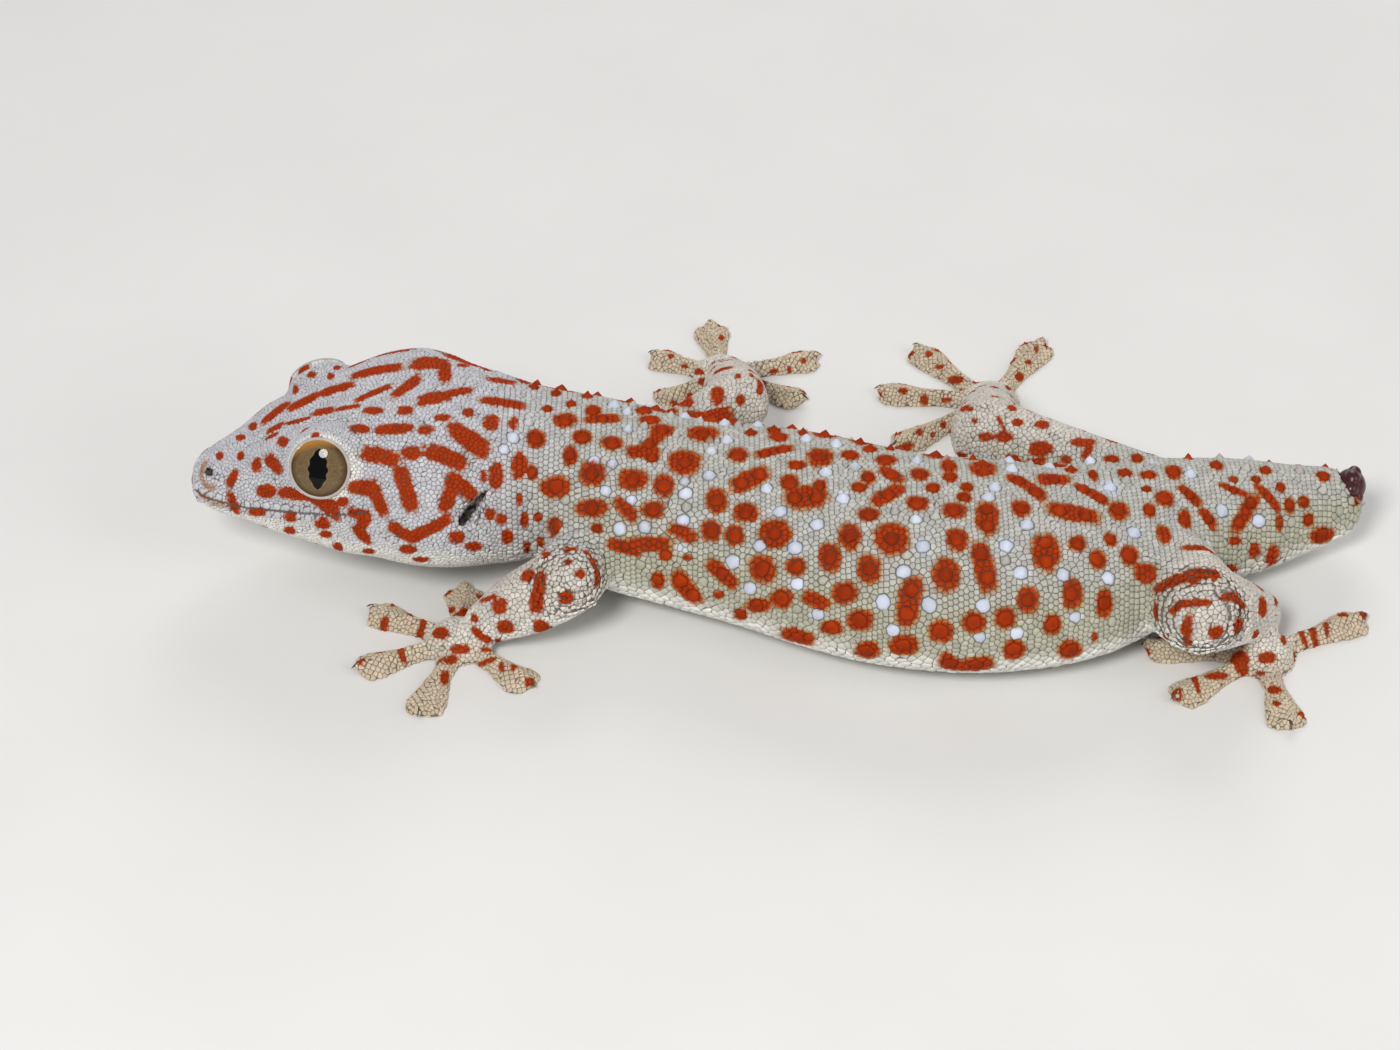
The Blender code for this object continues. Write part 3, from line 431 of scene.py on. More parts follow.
def merged(node):
    """A welded copy of a node's mesh."""
    bm = bmesh.new()
    bm.from_mesh(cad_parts[node].data)
    bmesh.ops.remove_doubles(bm, verts=bm.verts, dist=WELD)
    bmesh.ops.recalc_face_normals(bm, faces=bm.faces)
    return bm


def middle(node):
    low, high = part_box(node)
    return (low + high) / 2


def distance_from(node, points):
    """The distance of each point from a node's middle."""
    return np.linalg.norm(points - np.array(middle(node)), axis=1)


def placed(name, data):
    """A new object in the scene."""
    obj = bpy.data.objects.new(name, data)
    bpy.context.scene.collection.objects.link(obj)
    return obj


def shown(name, mesh, slot, material):
    """A piece of the model, riding on the one body."""
    obj = placed(name, mesh)
    mesh.materials.append(material)
    if slot:
        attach(obj, "root")
    return obj


def applied(obj):
    """The mesh of an object with its modifiers, which are then taken off."""
    bpy.context.view_layer.update()
    graph = bpy.context.evaluated_depsgraph_get()
    mesh = bpy.data.meshes.new_from_object(obj.evaluated_get(graph))
    obj.modifiers.clear()
    return mesh


def positions(mesh):
    values = np.empty(len(mesh.vertices) * 3)
    mesh.vertices.foreach_get("co", values)
    return values.reshape(-1, 3)


def store(mesh, name, values):
    """A number at each vertex, for the material to read."""
    mesh.attributes.new(name, "FLOAT", "POINT").data.foreach_set("value", np.asarray(values, np.float32))


def camera_place():
    hand = middle("hand_front_left")
    return Vector((hand.x, hand.y, 0)) + CAMERA_FROM_HAND


FORWARD = Vector((0, math.cos(VIEW_DOWN), -math.sin(VIEW_DOWN)))
RIGHT = Vector((1, 0, 0))
UP = RIGHT.cross(FORWARD)


def as_mesh(bm, name, smooth=False):
    """The mesh of a bmesh, which is then freed."""
    if smooth:
        for face in bm.faces:
            face.smooth = True
    mesh = bpy.data.meshes.new(name)
    bm.to_mesh(mesh)
    bm.free()
    return mesh


def append(whole, mesh):
    """Adds a mesh to a bmesh and removes it."""
    whole.from_mesh(mesh)
    bpy.data.meshes.remove(mesh)


def remesh(obj, voxel):
    """Makes an object's parts one closed shell."""
    made = obj.modifiers.new("one_shell", "REMESH")
    made.mode = "VOXEL"
    made.voxel_size = voxel
    made.use_smooth_shade = True


def take_off_cones(bm):
    """Flattens the cones of the solids and gives their roots."""
    found = []
    for vert in bm.verts:
        near = [edge.other_vert(vert).co for edge in vert.link_edges]
        root = sum(near, Vector()) / len(near)
        rise = (vert.co - root).dot(vert.normal)
        narrow = max((p - root).length for p in near) < CONE_SPAN
        if len(near) == SOLID_CONE_SIDES and rise > CONE_LEAST and narrow:
            found.append((vert, root))
    for vert, root in found:
        vert.co = root
    return [tuple(root) for _, root in found]


class Surface:
    """The skin's shape, with what is needed to cast onto it and to name the node under each point."""

    cones = []
    owner_tree = None
    owner_faces = None

    def __init__(self, mesh):
        self.points = positions(mesh)
        mesh.calc_loop_triangles()
        corners = np.empty(len(mesh.loop_triangles) * 3, np.int32)
        mesh.loop_triangles.foreach_get("vertices", corners)
        self.faces = corners.reshape(-1, 3)
        self.tree = BVHTree.FromPolygons(self.points.tolist(), self.faces.tolist())
        normals = np.empty(len(mesh.vertices) * 3)
        mesh.vertices.foreach_get("normal", normals)
        self.normals = normals.reshape(-1, 3)
        self.eye = camera_place()

    def nearest(self, places):
        """Each place brought onto the skin, with the skin's normal there."""
        at, faces = [], []
        for place in places.tolist():
            point, _, face, _ = self.tree.find_nearest(place)
            at.append(point)
            faces.append(face)
        return np.array(at), unit(self.normals[self.faces[faces]].mean(axis=1))

    def landed(self, place):
        """One place brought onto the skin, with the skin's normal there."""
        at, normals = self.nearest(place[None])
        return at[0], normals[0]

    def seen(self, u, v):
        """Where the line of sight through a pixel meets the skin, or passes closest to it."""
        across = (u - PHOTO_SIZE[0] / 2) * PIXEL / VIEW_DISTANCE
        down = (v - PHOTO_SIZE[1] / 2) * PIXEL / VIEW_DISTANCE
        sight = (FORWARD + RIGHT * across - UP * down).normalized()
        point = self.tree.ray_cast(self.eye, sight)[0]
        if point is None:
            point = self.eye + sight * VIEW_DISTANCE
            for _ in range(CLOSING_STEPS):
                point = self.tree.find_nearest(self.eye + sight * (point - self.eye).dot(sight))[0]
        return np.array(point)

    def hidden(self, place, normal):
        """Whether the camera misses this place of the skin."""
        sight = Vector(place) - self.eye
        if sight.dot(Vector(normal)) > -GRAZING * sight.length:
            return True
        distance = self.tree.ray_cast(self.eye, sight.normalized())[3]
        return distance is not None and distance < sight.length - COVER

    def owners(self, places):
        """The index in FLESH of the node under each place."""
        found = [Surface.owner_tree.find_nearest(place)[2] for place in places.tolist()]
        return Surface.owner_faces[found]

    def node_under(self, place):
        return FLESH[self.owners(place[None])[0]]

    def trunk_slice(self, x, half):
        """The trunk's points that lie near one place of its length."""
        return self.points[(np.abs(self.points[:, 0] - x) < half) & self.is_trunk]


def on(owners, nodes):
    """Which of some places lie on these nodes, by their owners."""
    return np.isin(owners, [FLESH.index(n) for n in nodes])


def skin_from_nodes():
    """The flesh nodes as one closed mesh, with no seam where they met."""
    whole = bmesh.new()
    owners = []
    cones = []
    for number, node in enumerate(FLESH):
        bm = merged(node)
        if node in TRUNK_NODES:
            cones += take_off_cones(bm)
        for vert in bm.verts:
            vert.co += vert.normal * vert.calc_shell_factor() * GROWN
        owners += [number] * len(bm.faces)
        append(whole, as_mesh(bm, "flesh"))
    Surface.cones = cones
    Surface.owner_tree = BVHTree.FromBMesh(whole)
    Surface.owner_faces = np.array(owners)
    obj = placed("flesh", as_mesh(whole, "skin"))
    remesh(obj, VOXEL)
    obj.data = applied(obj)
    return obj


def soften(obj, nodes, rounds):
    """Smooths the stretches of skin over some nodes."""
    places = positions(obj.data)
    found = Surface.owner_tree.find_nearest
    owners = Surface.owner_faces[[found(p)[2] for p in places.tolist()]]
    group = obj.vertex_groups.new(name="soft")
    group.add(np.flatnonzero(on(owners, nodes)).tolist(), 1.0, "REPLACE")
    smooth = obj.modifiers.new("soften", "SMOOTH")
    smooth.factor = 0.5
    smooth.iterations = rounds
    smooth.vertex_group = "soft"
    obj.data = applied(obj)
    obj.vertex_groups.clear()


def keep_largest(mesh):
    """Drops every shell of a mesh but the one with the most faces."""
    bm = bmesh.new()
    bm.from_mesh(mesh)
    unseen = set(bm.verts)
    shells = []
    while unseen:
        front = [unseen.pop()]
        shell = list(front)
        while front:
            for edge in front.pop().link_edges:
                for vert in edge.verts:
                    if vert in unseen:
                        unseen.remove(vert)
                        front.append(vert)
                        shell.append(vert)
        shells.append(shell)
    shells.sort(key=len)
    for shell in shells[:-1]:
        bmesh.ops.delete(bm, geom=shell, context="VERTS")
    bm.to_mesh(mesh)
    bm.free()


def evenly(line, pitch, start=0):
    """Points at an even pitch along a line of points."""
    run = np.concatenate(([0], np.cumsum(np.linalg.norm(np.diff(line, axis=0), axis=1))))
    stops = np.arange(start, run[-1], pitch)
    return np.stack([np.interp(stops, run, line[:, k]) for k in range(3)], axis=1)


def path_points(surface, pixels, pitch):
    """Points at an even pitch along a line drawn in the photograph, on the skin."""
    corners = [surface.seen(*p) for p in pixels]
    fine = []
    for a, b in zip(corners, corners[1:]):
        fine += [a + (b - a) * t for t in np.linspace(0, 1, PATH_STEPS, endpoint=False)]
    return evenly(np.array(fine + [corners[-1]]), pitch)


def mirror(halfway, across):
    """A matrix that mirrors in a plane, given a point of the plane and the direction square to it."""
    return Matrix.Translation(halfway) @ Matrix.Scale(-1, 4, across) @ Matrix.Translation(-halfway)


def head_mirror():
    """Carries the head's left side onto its right."""
    left, right = (middle(eye) for eye in EYES)
    return mirror((left + right) / 2, (left - right).normalized())


def mirrored_head(places):
    turn = np.array(head_mirror())
    return places @ turn[:3, :3].T + turn[:3, 3]


def mouth_paths(surface, pitch):
    """The mouth line of the left side and of the right."""
    left = path_points(surface, MOUTH_LINE, pitch)
    right = surface.nearest(mirrored_head(left))[0]
    return left, right


def seam_lines(surface):
    """The mouth lines and the creases, each with its depth and reach."""
    lines = [(path, GROOVE_DEPTH, GROOVE_REACH) for path in mouth_paths(surface, LINE_PITCH)]
    for line in CREASES:
        lines.append((path_points(surface, line, LINE_PITCH), CREASE_DEPTH, CREASE_REACH))
    return lines


def distance_to(points, path):
    """The distance of each point from the nearest of a path's points, or 1 far from them all."""
    gap = np.ones(len(points))
    reach = np.linalg.norm(path - path.mean(axis=0), axis=1).max() + PATH_MARGIN
    near = np.flatnonzero(np.linalg.norm(points - path.mean(axis=0), axis=1) < reach)
    tree = tree_of(path)
    gap[near] = [tree.find(p)[2] for p in points[near].tolist()]
    return gap


def carve(mesh, surface):
    """Sinks the mouth line, creases and folds into the skin, and lowers it under its scales."""
    owners = surface.owners(surface.points)
    drop = np.full(len(surface.points), GROWN + SCALE_DEPTH)
    for nodes, share in ((PALM_NODES, PALM_SHARE), (TOE_NODES, TOE_SHARE)):
        drop[on(owners, nodes)] = GROWN + share * SCALE_DEPTH
    for path, depth, reach in seam_lines(surface):
        drop += depth * (1 - step(LINE_FLOOR, reach, distance_to(surface.points, path)))
    for mark in seen_marks(surface):
        if mark.kind == "dark":
            for pit in (mark, mark.moved(head_mirror())):
                drop += PIT_DEPTH * (1 - step(*PIT_EDGE, pit.reach(surface.points)))
    for pixel, first in FOLDS:
        gap = np.linalg.norm(surface.points - surface.seen(*pixel), axis=1)
        turn = 2 * math.pi * (gap - first) / FOLD_PITCH
        inside = (gap > first - FOLD_PITCH) & (gap < first + FOLD_RINGS * FOLD_PITCH)
        drop += np.where(inside, FOLD_DEPTH * (1 - np.cos(turn)) / 2, 0)
    places = surface.points - surface.normals * drop[:, None]
    places[:, 2] = np.maximum(places[:, 2], SKIN_LIFT)
    mesh.vertices.foreach_set("co", places.ravel())
    mesh.update()


class Mark:
    """An oval or barred patch of colour lying on the skin."""

    def __init__(self, centre, along, across, kind, bar=False):
        self.centre = centre
        self.along = along
        self.across = across
        self.kind = kind
        self.bar = bar

    def size(self):
        return max(np.linalg.norm(self.along), np.linalg.norm(self.across))

    def reach(self, points):
        """How far out each point is, from 0 at the middle to 1 at the edge."""
        normal = unit(np.cross(self.along, self.across)) * self.size() * MARK_THICK
        axes = np.linalg.inv(np.stack([self.along, self.across, normal], axis=1))
        at = (points - self.centre) @ axes.T
        power = BAR_POWER if self.bar else OVAL_POWER
        out = (np.abs(at[:, 0]) ** power + np.abs(at[:, 1]) ** power) ** (1 / power)
        return np.where(np.abs(at[:, 2]) > 1, OUTSIDE, out)

    def moved(self, turn):
        """The same mark carried over by a matrix."""
        flat = np.array(turn)
        carry = flat[:3, :3]
        centre = carry @ self.centre + flat[:3, 3]
        return Mark(centre, carry @ self.along, carry @ self.across, self.kind, self.bar)


def laid_flat(vector, normal):
    """A vector across the view slid along the line of sight until it lies on the skin."""
    sight = np.array(FORWARD)
    facing = min(float(sight @ normal), -LEAST_FACING)
    return vector - sight * float(vector @ normal) / facing


def spot(surface, u, v, width, height, kind):
    centre, normal = surface.landed(surface.seen(u, v))
    along = laid_flat(np.array(RIGHT) * width / 2 * PIXEL, normal)
    across = laid_flat(np.array(UP) * height / 2 * PIXEL, normal)
    return Mark(centre, along, across, kind)


def bar(surface, width, pixels, kind):
    """One mark for each stretch of a bent bar."""
    made = []
    for (u, v), (s, t) in zip(pixels, pixels[1:]):
        length = math.hypot(s - u, t - v)
        step_right, step_down = (s - u) / length, (t - v) / length
        centre, normal = surface.landed(surface.seen((u + s) / 2, (v + t) / 2))
        ahead = np.array(RIGHT) * step_right - np.array(UP) * step_down
        aside = np.array(RIGHT) * step_down + np.array(UP) * step_right
        along = laid_flat(ahead * (length + width) / 2 * PIXEL, normal)
        made.append(Mark(centre, along, laid_flat(aside * width / 2 * PIXEL, normal), kind, True))
    return made


def seen_marks(surface):
    """Every marking that the photograph shows."""
    made = [spot(surface, *row, kind) for kind, rows in SPOTS for row in rows]
    for kind, rows in BARS:
        for width, pixels in rows:
            made += bar(surface, width, pixels, kind)
    return made


def trunk_mirror(surface, place):
    """Carries a place of the trunk to the body's other side."""
    aside = surface.trunk_slice(place[0], 2 * MM)[:, 1]
    return mirror(Vector((0, (aside.min() + aside.max()) / 2, 0)), (0, 1, 0))


def carried_marks(surface, seen):
    """The near side's markings, carried over to the side that faces away."""
    made = []
    for mark in seen:
        node = surface.node_under(mark.centre)
        if mark.kind in ("head", "dark", "halo") and node in HEAD_NODES:
            copy = mark.moved(head_mirror())
        elif node in TRUNK_NODES:
            copy = mark.moved(trunk_mirror(surface, mark.centre))
        else:
            continue
        place, normal = surface.landed(copy.centre)
        if surface.hidden(place, normal):
            copy.centre = place
            made.append(copy)
    return made


def strewn_marks(surface, taken):
    """Markings strewn over what the camera misses, clear of the places already taken."""
    draw = np.random.default_rng(bpy.context.scene.gecko_sizes.seed)
    made = []
    for i in draw.permutation(len(surface.points))[:STREWN_TRIES]:
        place, normal = surface.points[i], surface.normals[i]
        room = TRUNK_ROOM if surface.is_trunk[i] else LIMB_ROOM
        if normal[2] < UNDERSIDE or np.linalg.norm(np.array(taken) - place, axis=1).min() < room:
            continue
        if not surface.hidden(place, normal):
            continue
        taken.append(place)
        along = unit(np.cross(normal, draw.normal(size=3))) * draw.uniform(*STREWN_LENGTH) * MM
        across = unit(np.cross(normal, along)) * draw.uniform(*STREWN_BREADTH) * MM
        kind = "trunk" if surface.is_trunk[i] else "limb"
        if surface.is_trunk[i] and draw.random() < STREWN_PALE:
            kind = "pale"
        made.append(Mark(place, along, across, kind))
    return made


def marking_amounts(points, marks, noise):
    """How much of each marking's colours lies at every point."""
    amounts = {name: np.zeros(len(points)) for name in ("orange", "ember", "halo", "pale", "dark")}

    def raised(name, near, values):
        amounts[name][near] = np.maximum(amounts[name][near], values)

    order = np.argsort(points[:, 0], kind="stable")
    lengthwise = points[order, 0]
    for mark in marks:
        room = 2 * mark.size()
        first, last = np.searchsorted(lengthwise, (mark.centre[0] - room, mark.centre[0] + room))
        near = order[first:last]
        near = near[np.abs(points[near] - mark.centre).max(axis=1) < room]
        if not len(near):
            continue
        out = mark.reach(points[near]) + noise[near]
        edge = HEAD_EDGE if mark.kind == "head" else SPOT_EDGE
        inside = 1 - step(edge - EDGE_BLUR, edge + EDGE_BLUR, out)
        if mark.kind == "halo":
            raised("halo", near, AMBER_STRENGTH * (1 - step(*AMBER_FADE, out)))
        # a dark mark is painted shade in a nostril or the ear opening
        elif mark.kind in ("pale", "dark"):
            raised(mark.kind, near, inside)
        else:
            wide, strong = HALO[mark.kind]
            raised("orange", near, inside)
            raised("halo", near, strong * (1 - step(edge, edge * wide, out)))
        if mark.kind == "trunk":
            raised("ember", near, 1 - step(*EMBER_FADE, out))
    return amounts


def ground_amounts(points, owners, normals):
    """How much of each ground colour lies at every point."""
    neck = middle("neck").x
    beige = step(neck - TRUNK_TONE[0], neck + TRUNK_TONE[1], points[:, 0])
    beige *= 1 - TOP_GREY * step(*TOP_FADE, normals[:, 2])
    low = 1 - step(*LOW_FADE, points[:, 2])
    belly = np.clip(step(*UNDER_FADE, -normals[:, 2]) + LOW_PALE * low, 0, 1)
    for eye, look in KEPT["surface"].looks.items():
        out = points - np.array(middle(eye))
        far = np.linalg.norm(out, axis=1)
        turn = np.arccos(np.clip(out @ np.array(look) / far, -1, 1))
        belly = np.maximum(belly, RING_PALE * (far < RING_REACH) * (1 - step(*RING_TURN, turn)))
    limb = np.zeros(len(points))
    limbs = np.flatnonzero(on(owners, LIMB_NODES + PALM_NODES + TOE_NODES))
    from_trunk = np.array([KEPT["trunk_tree"].find(p)[2] for p in points[limbs].tolist()])
    limb[limbs] = step(*LIMB_FADE, from_trunk)
    from_palm = np.min([distance_from(node, points) for node in PALM_NODES], axis=0)
    toe = np.where(on(owners, PALM_NODES + TOE_NODES), step(*TOE_FADE, from_palm), 0)
    belly *= 1 - TOE_OVER_BELLY * toe
    return {"beige": beige, "belly": belly, "limb": limb, "toe": toe}


def painted(points, owners, normals, marks, noise):
    """The amounts of each colour at every point."""
    return marking_amounts(points, marks, noise) | ground_amounts(points, owners, normals)


def axes_of(surface):
    """For each node of flesh, its middle and its long direction, pointing away from the head."""
    found = []
    for number, node in enumerate(FLESH):
        own = surface.points[surface.owner == number]
        if len(own) < 4:  # too few to have a direction
            own = np.array([v.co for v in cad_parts[node].data.vertices])
        centre = own.mean(axis=0)
        direction = np.linalg.svd(own - centre, full_matrices=False)[2][0]
        if node in HEAD_NODES + TRUNK_NODES:
            direction = direction * math.copysign(1, direction[0])
        found.append((centre, direction))
    return found


def widths(places, normals, owners):
    """The nominal width of the scale that grows at each place."""
    sizes = bpy.context.scene.gecko_sizes
    wide = np.full(len(places), sizes.limb_scale)
    wide[on(owners, TOE_NODES)] = sizes.toe_scale
    wide[on(owners, PALM_NODES)] = (sizes.toe_scale + sizes.limb_scale) / 2
    trunk = on(owners, TRUNK_NODES)
    low = 1 - step(*FLANK_FADE, places[:, 2])
    under = step(*BELLY_FADE, -normals[:, 2])
    side = sizes.back_scale + (sizes.flank_scale - sizes.back_scale) * low
    wide[trunk] = (side + (sizes.belly_scale - side) * under)[trunk]
    head = on(owners, HEAD_NODES)
    back = step(*CROWN_FADE, places[:, 0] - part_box("head")[0].x)
    wide[head] = (sizes.head_scale * (1 + CROWN_GROWTH * back))[head]
    for eye in EYES:
        near = 1 - step(*LID_FADE, distance_from(eye, places))
        wide[head] = (wide + (sizes.eye_scale - wide) * near)[head]
    return wide


def trunk_rows(surface, width):
    """Places in staggered rows across the back and flanks."""
    low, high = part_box("neck")[0].x + 1 * MM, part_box("tail_stump")[1].x - 2 * MM
    found = []
    for row, x in enumerate(np.arange(low, high, ROW_PITCH * width)):
        ring = surface.trunk_slice(x, 1.5 * MM)
        if not len(ring):
            continue
        centre = Vector((x, *(ring.min(axis=0) + ring.max(axis=0))[1:] / 2))
        hits = []
        for angle in np.linspace(*ROW_TURN, ROW_RAYS):
            ray = Vector((0, math.cos(angle), math.sin(angle)))
            point = surface.tree.ray_cast(centre, ray, ROW_REACH)[0]
            hits.append(point if point else centre + ray * ROW_MISSED * MM)
        found.append(evenly(np.array(hits), width, (row % 2) * width / 2))
    return np.concatenate(found)


def tubercle_places(surface, marks):
    """A tubercle in every spot of the trunk, two in long ones, and plain ones at the solids' cones."""
    found = []
    for mark in marks:
        on_nape = mark.kind == "head" and mark.centre[0] > surface.nape
        if mark.kind not in ("trunk", "pale") and not on_nape:
            continue
        if surface.node_under(mark.centre) not in TRUNK_NODES + HEAD_NODES:
            continue
        shorter, longer = sorted((mark.along, mark.across), key=np.linalg.norm)
        share = PALE_CONE if mark.kind == "pale" else SPOT_CONE
        wide = min(max(share * np.linalg.norm(shorter), CONE_NARROW), CONE_WIDE)
        if np.linalg.norm(longer) > LONG_SPOT:
            found += [(mark.centre + longer * 0.5, wide), (mark.centre - longer * 0.5, wide)]
        else:
            found.append((mark.centre, wide))
    found += [(np.array(root), bpy.context.scene.gecko_sizes.tubercle) for root in Surface.cones]
    kept, wide = [], []
    for place, width in found:
        if not kept or np.linalg.norm(np.array(kept) - place, axis=1).min() > CONE_ROOM:
            kept.append(place)
            wide.append(width)
    return surface.nearest(np.array(kept))[0], np.array(wide)


def labial_places(surface):
    """The plates along both lips, above and below the mouth line."""
    found = []
    for path in mouth_paths(surface, LABIAL_LENGTH):
        at, normals = surface.nearest(path)
        along = unit(np.gradient(path, axis=0))
        upward = unit(np.cross(along, normals))
        for side in (-1, 1):
            found.append(at + upward * side * LABIAL_OFFSET)
    return surface.nearest(np.concatenate(found))[0]


def seam_places(surface):
    """Places along the mouth that are kept free of scales."""
    return surface.nearest(np.concatenate(mouth_paths(surface, SEAM_PITCH)))[0]


def fold_places(surface, width):
    """Scales in rings on the folds round each bent joint."""
    found = []
    for pixel, least in FOLDS:
        centre, normal = surface.landed(surface.seen(*pixel))
        first = unit(np.cross(normal, (0.0, 0.0, 1.0)))
        second = np.cross(normal, first)
        for ring in range(FOLD_RINGS):
            radius = least + ring * FOLD_PITCH
            count = int(2 * math.pi * radius / (FOLD_SCALE * width))
            turns = np.arange(count) * 2 * math.pi / count
            places = centre + (np.cos(turns)[:, None] * first + np.sin(turns)[:, None] * second) * radius
            for _ in range(RING_STEPS):
                places = surface.nearest(places)[0]
                places = centre + unit(places - centre) * radius
            found.append(surface.nearest(places)[0])
    return np.concatenate(found)


def palm_of(toe):
    """The middle of the palm that a toe belongs to."""
    limb = toe.replace("toe_", "")[:-2]
    return middle(("hand_" if limb.startswith("front") else "foot_") + limb)


def toe_rows(surface):
    """Plates in rows across the upper side of every toe."""
    found = []
    for toe in TOE_NODES:
        centre = middle(toe)
        out = centre - palm_of(toe)
        out.z = 0
        out.normalize()
        side = Vector((-out.y, out.x, 0))
        for row, far in enumerate(np.arange(-TOE_HALF, TOE_HALF, TOE_ROW)):
            for k in range(-TOE_PLATES, TOE_PLATES + 1):
                aside = (k + 0.5 * (row % 2)) * TOE_PLATE
                start = Vector((centre.x, centre.y, 20 * MM)) + out * far + side * aside
                point, _, face, _ = surface.tree.ray_cast(start, Vector((0, 0, -1)))
                if point and FLESH[surface.owner[surface.faces[face][0]]] == toe:
                    found.append(np.array(point))
    return np.array(found)


def scattered(surface, draw, count):
    """Random places over the skin, closer together where scales are small."""
    corners = surface.points[surface.faces]
    centres = corners.mean(axis=1)
    owners = surface.owner[surface.faces[:, 0]]
    normals = surface.normals[surface.faces[:, 0]]
    area = np.linalg.norm(np.cross(corners[:, 1] - corners[:, 0], corners[:, 2] - corners[:, 0]), axis=1)
    share = area / widths(centres, normals, owners) ** 2
    chosen = draw.choice(len(centres), count, p=share / share.sum())
    s, t = draw.random(count), draw.random(count)
    flip = s + t > 1
    s[flip], t[flip] = 1 - s[flip], 1 - t[flip]
    a, b, c = (corners[chosen, k] for k in range(3))
    return a + (b - a) * s[:, None] + (c - a) * t[:, None]


def tree_of(places):
    tree = KDTree(len(places))
    for i, place in enumerate(places.tolist()):
        tree.insert(place, i)
    tree.balance()
    return tree


def thinned(places, wide, kinds):
    """Keeps, in order, each place that no kept one has crowded out."""
    tree = tree_of(places)
    free = np.ones(len(places), bool)
    kept = []
    least = wide.min()
    for i, place in enumerate(places.tolist()):
        if not free[i]:
            continue
        kept.append(i)
        margin = CROWDING * (wide[i] + (least if kinds[i] else wide[i]))
        for _, j, _ in tree.find_range(place, margin):
            free[j] = False
    return np.array(kept)


def spread(surface, places, wide, held, rounds):
    """Pushes scales apart until they lie evenly, keeping them on the skin."""
    for _ in range(rounds):
        tree = tree_of(places)
        near = np.array([[row[1] for row in tree.find_n(p, PUSHERS)] for p in places.tolist()])
        away = places[:, None] - places[near]
        gap = np.linalg.norm(away, axis=2)
        wish = (wide[:, None] + wide[near]) / 2 * TIGHT
        push = np.clip(wish - gap, 0, None) / np.maximum(gap, 1e-6)
        push[:, 0] = 0
        move = (away * push[:, :, None]).sum(axis=1) * PUSH_SHARE
        longest = np.linalg.norm(move, axis=1, keepdims=True)
        move *= np.minimum(1, PUSH_LIMIT * wide[:, None] / np.maximum(longest, 1e-9))
        places = np.where(held[:, None], places, places + move)
        places, normals = surface.nearest(places)
    return places, normals


def cells(places, normals, heads, wide, sides):
    """For each scale its own frame, and the direction and reach of each corner of its cell."""
    tree = tree_of(places)
    near = np.array([[row[1] for row in tree.find_n(p, NEIGHBOURS + 1)][1:] for p in places.tolist()])
    first = unit(heads - normals * (heads * normals).sum(axis=1, keepdims=True))
    second = np.cross(normals, first)
    away = places[near] - places[:, None]
    far = np.linalg.norm(away, axis=2)
    x = (away * first[:, None]).sum(axis=2)
    y = (away * second[:, None]).sum(axis=2)
    flat = np.maximum(np.hypot(x, y), 1e-9)
    level = far * wide[:, None] / (wide[:, None] + wide[near])
    turns = np.tile(np.arange(FRAME_SIDES) * 2 * math.pi / FRAME_SIDES, (len(places), 1))
    x = np.concatenate((x / flat, np.cos(turns)), axis=1)
    y = np.concatenate((y / flat, np.sin(turns)), axis=1)
    level = np.concatenate((level, np.repeat(CELL_LIMIT * wide[:, None], FRAME_SIDES, axis=1)), axis=1)
    groups = np.array_split(np.arange(len(places)), math.ceil(len(places) / CELL_BATCH))
    met = [met_corners(x[group], y[group], level[group], sides) for group in groups]
    px, py = (np.concatenate([part[k] for part in met]) for k in (0, 1))
    return first, second, np.arctan2(py, px), np.hypot(px, py) * CELL_SHARE


def met_corners(x, y, level, sides):
    """The corners, in turn, of the cells inside the lines x px + y py = level, brought to one count."""
    one, two = np.triu_indices(x.shape[1], 1)
    across = x[:, one] * y[:, two] - y[:, one] * x[:, two]
    across = np.where(np.abs(across) < NEARLY_PARALLEL, np.inf, across)
    px = (level[:, one] * y[:, two] - level[:, two] * y[:, one]) / across
    py = (x[:, one] * level[:, two] - x[:, two] * level[:, one]) / across
    room = level[:, None] * ON_LINE - px[:, :, None] * x[:, None] - py[:, :, None] * y[:, None]
    inside = (room >= 0).all(axis=2) & np.isfinite(across)
    angle = np.where(inside, np.arctan2(py, px), OUTSIDE)
    order = np.argsort(angle, axis=1)[:, : sides + 2]
    px, py = (np.take_along_axis(p, order, 1) for p in (px, py))
    count = np.clip(inside.sum(axis=1), 3, sides + 2)[:, None]
    here = np.arange(sides) * count // sides
    again = here == np.roll(here, 1, axis=1)
    after = (here + 1) % count
    found = []
    for p in (px, py):
        own, next_one = np.take_along_axis(p, here, 1), np.take_along_axis(p, after, 1)
        found.append(np.where(again, (own + next_one) / 2, own))
    return found


